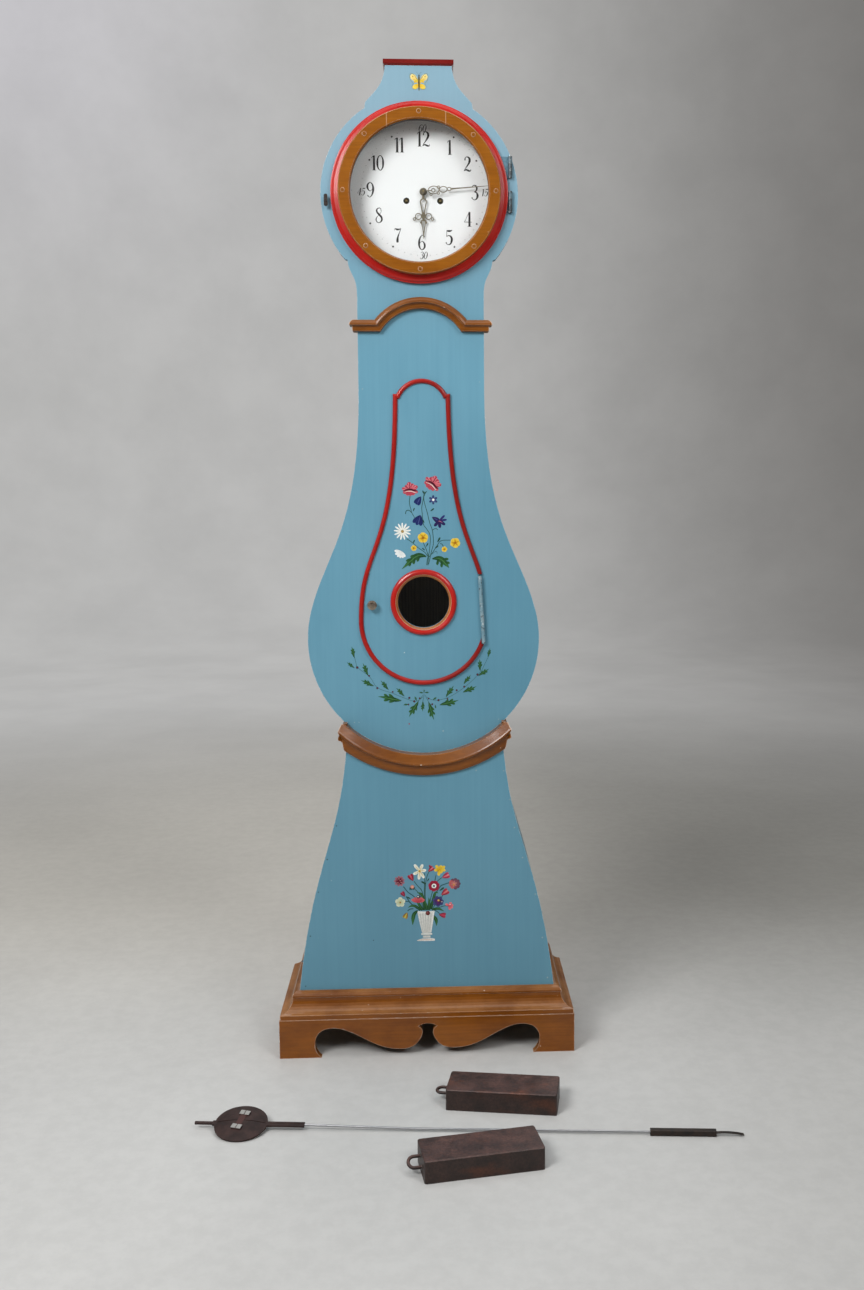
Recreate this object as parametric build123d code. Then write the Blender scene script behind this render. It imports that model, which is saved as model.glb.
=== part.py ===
from build123d import *
from math import atan2, cos, degrees, hypot, pi, radians, sin, sqrt
import os

# A painted longcase clock with a round hood, a narrow waist, a round belly and a flared base on
# bracket feet. Its pendulum and its two iron weights are unhooked and lie on the floor before it.
#
# Millimetres. X runs to the viewer's right, Y from the front to the wall, Z up. The origin is on
# the floor, midway along the back of the case. The front faces -Y.

# ---------------------------------------------------------------- driving dimensions: the case
height = 2180  # floor to the top of the cap
case_depth = 260  # back of the case to the face of the front board
front_t = 18
side_t = 12
back_t = 12
top_t = 18
cap_t = 12
glue_gap = 0.2  # between curved faces that are glued together

hood_r = 212
hood_drop = 277.5  # top of the cap down to the middle of the round hood
hood_low_angle = -40  # where the round of the hood ends, below and above its middle
hood_high_angle = 57
ledge = 6  # small steps where the round meets the shoulder and the neck
neck_step = 12
neck_half = 71
cap_overhang = 4
hood_overhang = 17  # the round of the front board stands out this far past the sides behind it

waist_half = 137
waist_drop = 212.5  # middle of the hood down to the straight part of the waist
waist_straight = 200

belly_r = 257
belly_lift = 185  # top of the base up to the middle of the round belly
belly_flare_angle = 15  # above this the belly leaves its circle and draws in to the waist

plinth_h = 88  # height of the bracket boards
base_h = 667
base_proud = 15  # the base panel stands this far in front of the front board
base_side_t = 15
base_top_half = 172
base_foot_half = 294.5
base_floor_t = 15
bracket_t = 18
foot_w = 94
block_w = 30
plinth_mould_h = 54
plinth_proj = 42

cornice_drop = 78  # top of the straight waist down to the foot of the cornice
cornice_h = 25
cornice_proj = 17
cornice_arch_half = 100
cornice_rise = 48.5

crescent_w = 47
crescent_proj = 20
crescent_return_h = 62

seat_t = 20
cheek_t = 20
cheek_h = 220

# ---------------------------------------------------------------- driving dimensions: the doors
ring_lift = 1.5  # the hood door's middle is this far above the hood's
ring_open_r = 147
ring_r = 173.3
ring_t = 15
rim_open_r = 152
rim_r = 190
rim_t = 15
rim_flange_t = 7
door_clear = 0.4  # behind the closed hood door, and between the dial and the front board
dial_opening_r = 160
hood_glass_t = 2
hood_glass_r = 158
putty_w = 5
peg_r = 4.5
peg_proud = 1.2
peg_depth = 5
peg_circle_r = 163
peg_count = 8
hood_hinge_h = 45
hood_hinge_up = 19  # from the middle of the ring up to the middle between the hinges
hood_hinge_off = 5  # from the edge of the rim to the hinge pins
hood_hinge_spread = 14  # from the middle between the hinges to the near end of each
hood_leaf_w = 15
hood_web = 3  # from the pins out to the far edge of each fixed leaf
barrel_r = 4.2
pin_r = 2
leaf_t = 1.5
catch_off = 10  # from the edge of the rim to the catch's post
catch_l, catch_w, catch_t = 26, 8, 2

door_r = 138.5
door_lift = 41  # middle of the belly up to the middle of the door's round foot
door_top_half = 57.5
door_shoulder_drop = 22  # straight waist down to the door's shoulders
door_ear = 6
door_arch_rise = 33
door_t = 18
door_proud = 2
bead_w = 10.5
bead_t = 6
bead_lip = 3.75
door_gap = 1.5
hinge_off = 7  # from the face of the front board out to the case hinge's pin
hinge_low, hinge_high = -51, 99  # ends of the case hinge, from the middle of the door's foot
hinge_low_in, hinge_high_in = 5.4, 13.7  # and how far inside the door's widest point they lie
hinge_gap = 4.8
knuckles = 5
knob_in, knob_lift = 25, 37
knob_r = 10.5
knob_stem_r = 4
latch_w, latch_t = 11, 3
latch_reach, latch_tail = 28, 6

window_lift = 42
window_open_r = 57
window_liner_r = 62
window_rim_r = 73.5
window_rim_t = 9
window_glass_t = 2
window_rebate = 8

# ---------------------------------------------------------------- driving dimensions: the clock
dial_x, dial_lift = 8, 8.5  # the dial sits a little off the middle of the hood
dial_r = 170
dial_t = 1.5
winding_x, winding_z = 36.5, -18.5  # of the winding arbors, from the middle of the dial
winding_hole_r = 5.5
plate_w = 160
plate_low, plate_high = 71, 79  # below and above the middle of the dial
plate_t = 3
plate_set_back = 37  # from the back of the front board to the front plate
plate_space = 65
pillar_r = 5
run = 0.05  # radial play of every arbor in its hole
arbor_r = 1.5
drum_r = 24
great_teeth = 96
centre_pinion_teeth = 12
centre_teeth = 64
small_pinion_teeth = 8
third_teeth = 60
escape_teeth = 30
escape_r = 20
centre_module = 0.7
third_module = 0.65
cannon_teeth = 24
minute_wheel_teeth = 72
minute_pinion_teeth = 16
hour_teeth = 64
motion_centres = 24
pin_wheel_teeth = 56
strike_great_teeth = 84
minute_hand_len = 141
hour_hand_len = 99
hand_t = 1
minute_hand_turn = 5  # above level, at rest
bell_r = 42
bell_t = 2.5
bell_lift = 22  # from the plates up to the bell's rim
crutch_drop = 95
pin_wheel_turn, fly_turn = 104, 62  # ways from each wheel of the striking train to the next
hammer_off, hammer_drop = 8, 21  # of the hammer's arbor, from the bell's edge and the plates' top

# ------------------------------------------------- driving dimensions: pendulum and weights
bob_r = 53
bob_t = 18
bob_lean = 10  # towards the room
bob_x, bob_off = -373, 312  # bob_off and the weights' second numbers are from the plinth's face
pendulum_turn = -4.95
bar_w, bar_t = 12, 4
bar_tip = 93
bar_end = 128
slit_w = 1.8  # the slit in the bob's face, over the bar
strap_turn = -11
rod_r = 2.4
rod_bend = 1200
block_start, block_end = 816, 946
block_size = 12
spring_end = 1000
spring_t = 1.6
weight_l, weight_w, weight_h = 230, 87, 44
weight_places = {"front_weight": (101, 475, 9.7, 35), "back_weight": (157, 235, -9.5, 4)}
loop_r = 11
loop_wire_r = 3.2
loop_leg = 13

# ---------------------------------------------------------------- places worked out from these
face_y = -case_depth
board_back_y = face_y + front_t
base_face_y = face_y - base_proud
base_back_y = base_face_y + front_t
plinth_face_y = base_face_y - plinth_proj
plinth_half = base_foot_half - 4 + plinth_proj
wall_y = -back_t

neck_top_z = height - cap_t
hood_z = height - hood_drop
waist_high_z = hood_z - waist_drop
waist_low_z = waist_high_z - waist_straight
cornice_z = waist_high_z - cornice_drop
base_top_z = plinth_h + base_h
belly_z = base_top_z + belly_lift

ring_z = hood_z + ring_lift
hood_hinge_x = rim_r + hood_hinge_off
hood_hinge_y = face_y - barrel_r - 1
catch_x, catch_z = -rim_r - catch_off, ring_z - 17
door_z = belly_z + door_lift
door_shoulder_z = waist_low_z - door_shoulder_drop
case_hinge_top = (door_r - hinge_high_in, door_z + hinge_high)
case_hinge_foot = (door_r - hinge_low_in, door_z + hinge_low)
case_hinge_y = face_y - hinge_off
knob_x, knob_z = knob_in - door_r, door_z + knob_lift
window_z = door_z + window_lift

dial_z = hood_z + dial_lift
dial_y = board_back_y + door_clear
plate_low_z, plate_high_z = dial_z - plate_low, dial_z + plate_high
bell_z = plate_high_z + bell_lift
front_plate_y = board_back_y + plate_set_back


def slab(sketch, front, thickness):
    """A flat piece cut to a front-view outline, its face at y = front."""
    return extrude(Plane.XZ.offset(-(front + thickness)) * sketch, amount=thickness)


def rod_y(x, z, radius, front, back):
    """A round bar or disc that runs from front to back."""
    bar = Cylinder(radius, back - front, align=(Align.CENTER, Align.CENTER, Align.MIN))
    return Plane.XZ.offset(-back) * Pos(x, z) * bar


def box(x0, x1, y0, y1, z0, z1):
    """A rectangular piece between two corners."""
    solid = Box(x1 - x0, y1 - y0, z1 - z0, align=(Align.MIN, Align.MIN, Align.MIN))
    return Pos(x0, y0, z0) * solid


def area(x0, x1, z0, z1):
    """A rectangle in the front view."""
    return Pos((x0 + x1) / 2, (z0 + z1) / 2) * Rectangle(x1 - x0, z1 - z0)


def round_area(x, z, radius):
    return Pos(x, z) * Circle(radius)


def turned(profile, x, z):
    """A ring turned about a front-to-back axis, from (radius, y) corners."""
    corners = [(x + radius, y, z) for radius, y in profile]
    face = make_face(Polyline(*corners, close=True))
    return revolve(face, Axis((x, 0, z), (0, 1, 0)))


def on_circle(x, z, radius, angle):
    return (x + radius * cos(radians(angle)), z + radius * sin(radians(angle)))


def both_sides(half):
    """The face inside a half outline and its mirror image."""
    curve = Curve() + half
    return make_face(curve.edges() + mirror(curve, about=Plane.YZ).edges())


def rounded(x0, z0, x1, z1, x2, z2):
    return ThreePointArc((x0, z0), (x1, z1), (x2, z2))


def pair(right):
    """A piece and its mirror image on the left."""
    return Compound(children=[right.solid(), mirror(right, about=Plane.YZ).solid()])


def write(name, shape):
    export_step(Compound(children=list(shape.solids())) if len(shape.solids()) > 1 else shape.solid(),
                f"parts/{name}.step")


# ---------------------------------------------------------------- front-view outlines
def case_outline(grow=0, hood_in=0):
    """Belly, waist, hood and neck in one outline, from the foot of the belly up."""
    belly, waist, hood = belly_r + grow, waist_half + grow, hood_r + grow - hood_in
    belly_side = on_circle(0, belly_z, belly, belly_flare_angle)
    lean = radians(belly_flare_angle)
    flare_h = waist_low_z - belly_side[1]
    flare_low, flare_high = 0.286 * flare_h, 0.622 * flare_h
    hood_low = on_circle(0, hood_z, hood, hood_low_angle)
    hood_high = on_circle(0, hood_z, hood, hood_high_angle)
    shoulder = (hood_low[0] - ledge, hood_low[1] - ledge / 3)
    shoulder_h = shoulder[1] - waist_high_z
    neck_low = (hood_high[0] - ledge / 3, hood_high[1] + neck_step)
    neck_h = neck_top_z - neck_low[1]
    neck = neck_half + grow
    half = [
        rounded(0, belly_z - belly, *on_circle(0, belly_z, belly, -35), *belly_side),
        Bezier(belly_side,
               (belly_side[0] - flare_low * sin(lean), belly_side[1] + flare_low * cos(lean)),
               (waist, waist_low_z - flare_high), (waist, waist_low_z)),
        Line((waist, waist_low_z), (waist, waist_high_z)),
        Bezier((waist, waist_high_z), (waist, waist_high_z + 0.6 * shoulder_h),
               (shoulder[0] - ledge / 2, shoulder[1] - 0.44 * shoulder_h), shoulder),
        Line(shoulder, hood_low),
        rounded(*hood_low, hood, hood_z, *hood_high),
        Line(hood_high, neck_low),
        Bezier(neck_low, (neck_low[0] - 0.48 * (neck_low[0] - neck_half), neck_low[1] + 0.3 * neck_h),
               (neck + ledge / 2, neck_top_z - 0.55 * neck_h), (neck, neck_top_z)),
        Line((neck, neck_top_z), (0, neck_top_z)),
    ]
    return both_sides(half)


def base_outline(grow=0):
    """The flared base, drawn on past both ends so that it can be cut to length."""
    spare = 40
    turn_z = base_top_z - crescent_return_h
    rise = turn_z - plinth_h
    foot, top = base_foot_half + grow, base_top_half + grow
    turn = top + crescent_return_h / 16
    half = [
        Line((0, plinth_h - spare), (foot, plinth_h - spare)),
        Line((foot, plinth_h - spare), (foot, plinth_h)),
        Bezier((foot, plinth_h), (foot - 0.051 * rise, plinth_h + 0.566 * rise),
               (turn + 0.03 * rise, turn_z - 0.361 * rise), (turn, turn_z)),
        Line((turn, turn_z), (top, base_top_z)),
        Line((top, base_top_z), (top, base_top_z + spare)),
        Line((top, base_top_z + spare), (0, base_top_z + spare)),
    ]
    return both_sides(half)


def belly_foot(clear):
    """The round foot of the belly, grown by a clearance."""
    return round_area(0, belly_z, belly_r + clear)


def door_outline(grow):
    """The teardrop of the case door, grown outwards by an even margin."""
    inner = door_top_half - door_ear
    arch_r = (inner**2 + door_arch_rise**2) / (2 * door_arch_rise)
    arch_mid = door_shoulder_z + door_ear + door_arch_rise - arch_r
    radius, top_half, arch_r = door_r + grow, door_top_half + grow, arch_r + grow
    arch_z = door_shoulder_z + door_ear + grow
    inner = sqrt(arch_r**2 - (arch_z - arch_mid) ** 2)
    rise = door_shoulder_z - door_z
    lean = degrees(atan2(arch_z - arch_mid, inner))
    half = [
        rounded(0, door_z - radius, *on_circle(0, door_z, radius, -45), radius, door_z),
        Bezier((radius, door_z), (radius, door_z + 0.36 * rise),
               (top_half + 4, door_shoulder_z - 0.72 * rise), (top_half, door_shoulder_z)),
        Line((top_half, door_shoulder_z), (top_half, arch_z)),
        Line((top_half, arch_z), (inner, arch_z)),
        rounded(inner, arch_z, *on_circle(0, arch_mid, arch_r, (90 + lean) / 2), 0, arch_mid + arch_r),
    ]
    return both_sides(half)


def door_level(grow, y):
    """The grown door outline, standing at a given depth."""
    return (Plane.XZ.offset(-y) * door_outline(grow)).face()


def hinge_side(back_off):
    """Everything beyond the case door's hinge line, moved towards the door by back_off."""
    (top_x, top_z), (foot_x, foot_z) = case_hinge_top, case_hinge_foot
    reach = 400
    slope = (foot_x - top_x) / (top_z - foot_z)
    above, below = (top_x - reach * slope, top_z + reach), (foot_x + reach * slope, foot_z - reach)
    return make_face(Polyline((above[0] - back_off, above[1]), (above[0] + reach, above[1]),
                              (below[0] + reach, below[1]), (below[0] - back_off, below[1]), close=True))


def hinge_band(above=2):
    """The heights that the case door's hinge takes up."""
    return area(0, 2 * belly_r, case_hinge_foot[1] - 2, case_hinge_top[1] + above)


# ---------------------------------------------------------------- mouldings
def mitre_front(half, corner_y, reach, z0, z1):
    """The room in front of a box of the given half width, out to its mitred corners."""
    plan = Polyline((-half, corner_y), (-half - reach, corner_y - reach), (half + reach, corner_y - reach),
                    (half, corner_y), close=True)
    return extrude(Pos(0, 0, z0) * make_face(plan), amount=z1 - z0)


def mitre_side(half, corner_y, reach, z0, z1):
    """The room beside the same box on the right, from its mitred corner to the wall."""
    plan = Polyline((half, corner_y), (half + reach, corner_y - reach), (half + reach, 0), (half, 0),
                    close=True)
    return extrude(Pos(0, 0, z0) * make_face(plan), amount=z1 - z0)


def moulding_run(profile, x0, x1, y, z):
    """A straight moulding along X. The profile's corners are (projection, height)."""
    face = make_face(Polyline(*[(x0, y - out, z + up) for out, up in profile], close=True))
    return extrude(face, amount=x1 - x0, dir=(1, 0, 0))


def moulding_return(profile, x, y0, z, y1=0):
    """The same moulding along the right side, from y0 to the wall, or to y1."""
    face = make_face(Polyline(*[(x + out, y0, z + up) for out, up in profile], close=True))
    return extrude(face, amount=y1 - y0, dir=(0, 1, 0))


def cove(out0, up0, out1, up1, steps=7):
    """Corners along a hollow quarter round from one point to another."""
    turns = [pi / 2 * i / steps for i in range(steps + 1)]
    return [(out1 + (out0 - out1) * (1 - sin(turn)), up0 + (up1 - up0) * (1 - cos(turn))) for turn in turns]


def with_returns(front, side):
    """A front moulding with its two side returns."""
    return Compound(children=[front.solid(), side.solid(), mirror(side, about=Plane.YZ).solid()])


def cornice():
    """The arched moulding across the waist, returned round the edges of the front board."""
    proj, high = cornice_proj, cornice_h
    face = [(0, 0), (0.5, 0), (0.6, 0.05), (0.64, 0.2), (0.62, 0.42), (0.68, 0.48), (0.94, 0.5), (1, 0.54),
            (1, 0.6), (0.96, 0.7), (0.85, 0.83), (0.66, 0.95), (0.45, 1), (0, 1)]
    profile = [(a * proj, b * high) for a, b in face]
    top = cornice_z + high
    outer_r = (cornice_arch_half**2 + cornice_rise**2) / (2 * cornice_rise)
    arch_z = top + cornice_rise - outer_r
    inner_r = outer_r - high
    spring = sqrt(inner_r**2 - (cornice_z - arch_z) ** 2)
    arch = turned([(inner_r + up, face_y - out) for out, up in profile], 0, arch_z)
    slope = (cornice_arch_half - spring) / high
    reach = 3 * high
    low_x, high_x = spring - reach * slope, cornice_arch_half + reach * slope
    low, high_z = cornice_z - reach, top + reach
    wedge = make_face(Polyline((low_x, low), (high_x, high_z), (-high_x, high_z), (-low_x, low), close=True))
    middle = slab(wedge, face_y - 2 * proj, 3 * proj)
    half = waist_half + glue_gap
    run_x = half + proj
    flats = moulding_run(profile, -run_x, run_x, face_y, cornice_z) - middle
    corners = mitre_front(half, face_y, 2 * proj, cornice_z - high, top + 4 * high)
    front = (arch & middle) + (flats & corners)
    side = moulding_return(profile, half, face_y - proj, cornice_z, face_y + front_t)
    side = side & mitre_side(half, face_y, 2 * proj, cornice_z - high, top + high)
    return with_returns(front, side)


def crescent():
    """The round moulding that cups the belly where it sits on the base."""
    inner_r = belly_r + glue_gap
    proj, width = crescent_proj, crescent_w
    lip = 0.12 * width
    face = [(0, 0.5), (0.03, 0.56), (0.36, 0.92), (0.41, 1), (0.46, 1), (0.5, 0.93), (0.54, 0.7), (0.6, 0.58),
            (0.7, 0.52), (0.84, 0.5), (0.94, 0.4), (1, 0.3), (1, 0)]
    profile = [(inner_r, base_back_y)] + [(inner_r + a * width, base_face_y - b * proj) for a, b in face]
    profile += [(inner_r + lip, base_face_y), (inner_r + lip, base_back_y)]
    whole = turned(profile, 0, belly_z)
    low, high = belly_z - inner_r - width - 1, base_top_z
    foot_z = base_top_z - crescent_return_h
    half = base_top_half + glue_gap
    plan = Polyline((-half + 1, base_back_y), (-half + 1, base_face_y - 1), (-half, base_face_y),
                    (-half - 2 * proj, base_face_y - 2 * proj), (half + 2 * proj, base_face_y - 2 * proj),
                    (half, base_face_y), (half - 1, base_face_y - 1), (half - 1, base_back_y), close=True)
    front = whole & extrude(Pos(0, 0, low) * make_face(plan), amount=high - low)
    tall = crescent_return_h
    edge = [(0.32, 0), (0.42, 0.08), (0.48, 0.2), (0.55, 0.32), (0.7, 0.39), (0.93, 0.42), (1, 0.46),
            (1, 0.52), (0.94, 0.57), (0.5, 0.96), (0.4, 1)]
    profile = [(-1, 0)] + [(a * proj, b * tall) for a, b in edge] + [(-1, tall)]
    side = moulding_return(profile, half, base_face_y - proj, foot_z)
    side = side & mitre_side(half - 1, base_face_y + 1, 3 * proj, foot_z, high)
    slope = half + crescent_return_h / 16
    behind = Polyline((0, foot_z), (slope, foot_z), (half, base_top_z), (0, base_top_z), close=True)
    side -= slab(make_face(behind), base_face_y - 2 * proj, 3 * case_depth)
    side -= slab(belly_foot(glue_gap), face_y - glue_gap, case_depth + glue_gap)
    return with_returns(front, side)


def plinth_moulding():
    """The hollow moulding between the base and the bracket boards."""
    proj, high = plinth_proj, plinth_mould_h
    profile = [(-8, 0), (0.96 * proj, 0), (0.96 * proj, 0.19 * high)]
    profile += cove(0.92 * proj, 0.21 * high, 0.32 * proj, 0.76 * high)
    profile += [(0.36 * proj, 0.78 * high), (0.36 * proj, 0.85 * high), (0.28 * proj, 0.94 * high),
                (0.1 * proj, high), (-8, high)]
    half = base_foot_half - 4
    top = plinth_h + high
    base = slab(base_outline(glue_gap), base_face_y, -base_face_y)
    clear = [(max(out, 0), up) for out, up in profile]
    front = moulding_run(clear, -half - proj, half + proj, base_face_y, plinth_h)
    front = front & mitre_front(half, base_face_y, 2 * proj, plinth_h, top)
    side = moulding_return(profile, half, base_face_y - proj, plinth_h)
    keep = make_face(Polyline((half - 8, base_face_y), (half, base_face_y),
                              (half + 2 * proj, base_face_y - 2 * proj), (half + 2 * proj, 0), (half - 8, 0),
                              close=True))
    side = (side & extrude(Pos(0, 0, plinth_h) * keep, amount=high)) - base
    return with_returns(front, side)


# ---------------------------------------------------------------- the case
def make_case():
    outline = case_outline()
    base = base_outline()
    behind = case_outline(0, hood_overhang)
    inner = case_outline(-side_t, hood_overhang)
    depth_inside = board_back_y - wall_y

    front = slab(outline, face_y, front_t)
    front -= slab(round_area(0, ring_z, dial_opening_r), face_y, front_t)
    opening = door_outline(bead_w / 2 - bead_lip + door_gap) - (hinge_side(-hinge_gap / 2) & hinge_band())
    opening += (hinge_side(hinge_gap) - hinge_side(-hinge_gap / 2)) & hinge_band()
    front -= slab(opening, face_y, front_t)
    for middle_z in hood_hinge_heights():
        low, high = middle_z - hood_hinge_h / 2 - glue_gap, middle_z + hood_hinge_h / 2 + glue_gap
        front -= box(hood_hinge_x - hood_leaf_w - glue_gap, hood_hinge_x + hood_web + glue_gap,
                     face_y, face_y + leaf_t, low, high)
    write("front_board", front)

    foot_half = plinth_half - bracket_t
    back_shape = behind + (base & area(-base_foot_half, base_foot_half, plinth_h, base_top_z))
    back_shape += area(-foot_half, foot_half, 0, plinth_h)
    write("back_board", slab(back_shape, wall_y, back_t))

    band = behind - inner
    reach = belly_r + hood_r
    side = slab(band & area(0, reach, base_top_z, neck_top_z - top_t), board_back_y, -depth_inside)
    write("case_sides", pair(side))
    top = slab(behind & area(-reach, reach, neck_top_z - top_t, neck_top_z), board_back_y, -depth_inside)
    write("top_board", top)

    cap_half = neck_half + cap_overhang
    cap = box(-cap_half, cap_half, face_y - cap_overhang, 0, neck_top_z, height)
    under = cap.faces().sort_by(Axis.Z)[0].edges().sort_by(Axis.Y)[:-1]
    write("cap_moulding", chamfer(under, 0.3 * cap_t))

    write("waist_cornice", cornice())
    write("crescent_moulding", crescent())

    belly_hole = slab(belly_foot(glue_gap + 0.12 * crescent_w), base_face_y, front_t)
    panel = slab(base & area(-reach, reach, plinth_h, base_top_z), base_face_y, front_t) - belly_hole
    write("base_front_panel", panel)

    base_inside = base_outline(-base_side_t)
    base_band = (base - base_inside) & area(0, reach, plinth_h, base_top_z)
    base_side = slab(base_band, base_back_y, wall_y - base_back_y)
    base_side -= slab(belly_foot(glue_gap), face_y, front_t + glue_gap)
    write("base_sides", pair(base_side))
    floor_level = area(-reach, reach, plinth_h, plinth_h + base_floor_t)
    floor_shape = base_outline(-base_side_t - glue_gap) & floor_level
    write("base_floor", slab(floor_shape, base_back_y, wall_y - base_back_y))

    write("plinth_moulding", plinth_moulding())
    write("front_bracket", slab(bracket_shape(), plinth_face_y, bracket_t))
    side_bracket = side_bracket_solid()
    write("side_brackets", pair(side_bracket))

    inside_y = plinth_face_y + bracket_t
    corner = box(foot_half - block_w, foot_half, inside_y, inside_y + block_w, block_w / 6, plinth_h)
    rear = box(foot_half - block_w, foot_half, wall_y - block_w, wall_y, block_w / 6, plinth_h)
    blocks = [corner, rear, mirror(corner, about=Plane.YZ), mirror(rear, about=Plane.YZ)]
    write("glue_blocks", Compound(children=[block.solid() for block in blocks]))

    seat_z = plate_low_z - seat_t
    cheek_low_z = seat_z - cheek_h
    cheek_x = waist_half - side_t
    behind_dial = board_back_y + 12
    cheek = box(cheek_x - cheek_t, cheek_x, behind_dial, wall_y, cheek_low_z, seat_z)
    write("seat_cheeks", pair(cheek))
    back_plate_y = front_plate_y + plate_t + plate_space
    seat = box(-cheek_x, cheek_x, behind_dial, wall_y, seat_z, plate_low_z)
    slot = box(dial_x - 30, dial_x + 30, back_plate_y + 12, back_plate_y + 60, seat_z, plate_low_z)
    for side_x in (-winding_x, winding_x):
        slot += box(dial_x + side_x - drum_r, dial_x + side_x + drum_r, front_plate_y + 14,
                    back_plate_y - 12, seat_z, plate_low_z)
    write("seat_board", seat - slot)


def bracket_shape():
    """The front bracket board: two feet and two scrolls that meet in a hook."""
    wide, drop = plinth_half, plinth_h
    inner_foot = wide - foot_w
    half = [
        Line((0, drop), (wide, drop)),
        Line((wide, drop), (wide, 0)),
        Line((wide, 0), (inner_foot, 0)),
        Spline((inner_foot, 0), (inner_foot + 15, 0.36 * drop), (inner_foot + 5, 0.66 * drop),
               (inner_foot - 24, 0.775 * drop), (0.54 * wide, 0.69 * drop), (0.3 * wide, 0.25 * drop),
               (0.2 * wide, 0.185 * drop), (0.1 * wide, 0.25 * drop), (0.052 * wide, 0.43 * drop),
               (0.035 * wide, 0.61 * drop)),
        rounded(0.035 * wide, 0.61 * drop, 0.042 * wide, 0.7 * drop, 0.064 * wide, 0.77 * drop),
        rounded(0.064 * wide, 0.77 * drop, 0.03 * wide, 0.83 * drop, 0, 0.846 * drop),
    ]
    return both_sides(half)


def side_bracket_solid():
    """A side bracket board, with one low arch between its feet."""
    y0, y1 = plinth_face_y + bracket_t, 0
    arch = 0.72 * plinth_h
    near, far = y0 + 0.78 * foot_w, y1 - 0.78 * foot_w
    x0 = plinth_half - bracket_t
    outline = Curve() + [
        Polyline((x0, near, 0), (x0, y0, 0), (x0, y0, plinth_h),
                 (x0, y1, plinth_h), (x0, y1, 0), (x0, far, 0)),
        Spline((x0, near, 0), (x0, near + 12, 0.6 * arch), (x0, (near + far) / 2, arch),
               (x0, far - 12, 0.6 * arch), (x0, far, 0)),
    ]
    return extrude(make_face(outline.edges()), amount=bracket_t, dir=(1, 0, 0)).solid()


# ---------------------------------------------------------------- hinges
def knuckle(x, y, z0, z1, bore):
    """One turn of a hinge barrel about a vertical pin."""
    tube = Cylinder(barrel_r, z1 - z0) - Cylinder(bore, z1 - z0)
    return Pos(x, y, (z0 + z1) / 2) * tube


def barrel_hinge(length, fixed_leaf, moving_leaf, count):
    """Fixed and moving halves of a hinge about Z at the origin. Each leaf is a function of z0, z1."""
    pitch = length / count
    space = 0.3
    halves = {"fixed": fixed_leaf(-length / 2, length / 2), "moving": moving_leaf(-length / 2, length / 2)}
    for i in range(count):
        z0 = -length / 2 + i * pitch
        own, other = ("fixed", "moving") if i % 2 == 0 else ("moving", "fixed")
        room = Pos(0, 0, z0 + pitch / 2) * Cylinder(barrel_r + space, pitch + 2 * space)
        halves[other] -= room
    for i in range(count):
        z0 = -length / 2 + i * pitch
        own = "fixed" if i % 2 == 0 else "moving"
        bore = pin_r + run if own == "moving" else pin_r
        halves[own] += knuckle(0, 0, z0 + space / 2, z0 + pitch - space / 2, bore)
    pin = Cylinder(pin_r, length + 2)
    halves["fixed"] += pin
    return halves["fixed"], halves["moving"]


def hood_hinge_heights():
    """The middles of the hood door's two hinges."""
    reach = hood_hinge_spread + hood_hinge_h / 2
    return [ring_z + hood_hinge_up + side * reach for side in (-1, 1)]


def hood_hinges():
    """Two butt hinges at the right of the hood door. Their fixed leaves are let into the board."""
    rim_reach = hood_hinge_off + rim_r - ring_r

    def fixed_leaf(z0, z1):
        board = barrel_r + 1
        leaf = box(-hood_leaf_w, hood_web, board, board + leaf_t, z0, z1)
        return leaf + box(0.5, hood_web, 0, board + leaf_t, z0, z1)

    def moving_leaf(z0, z1):
        front = barrel_r + 1 - door_clear - leaf_t
        return box(-rim_reach, 0, front, front + leaf_t, z0, z1)

    fixed, moving = barrel_hinge(hood_hinge_h, fixed_leaf, moving_leaf, 3)
    places = [Pos(hood_hinge_x, hood_hinge_y, middle_z) for middle_z in hood_hinge_heights()]
    return [place * fixed for place in places], [place * moving for place in places]


def case_hinge():
    """The long hinge of the case door, tilted to follow the door's edge."""
    (top_x, top_z), (foot_x, foot_z) = case_hinge_top, case_hinge_foot
    length = hypot(top_x - foot_x, top_z - foot_z)
    tilt = degrees(atan2(top_x - foot_x, top_z - foot_z))
    near = face_y + door_proud - case_hinge_y
    deep = near + door_t - 4
    side = hinge_gap / 2 - glue_gap

    def fixed_leaf(z0, z1):
        return box(side - leaf_t, side, 0, deep, z0, z1)

    def moving_leaf(z0, z1):
        return box(-side, -side + leaf_t, pin_r + 0.6, deep, z0, z1)

    fixed, moving = barrel_hinge(length, fixed_leaf, moving_leaf, knuckles)
    place = Pos((top_x + foot_x) / 2, case_hinge_y, (top_z + foot_z) / 2) * Rot(0, tilt, 0)
    return place * fixed, place * moving


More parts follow.
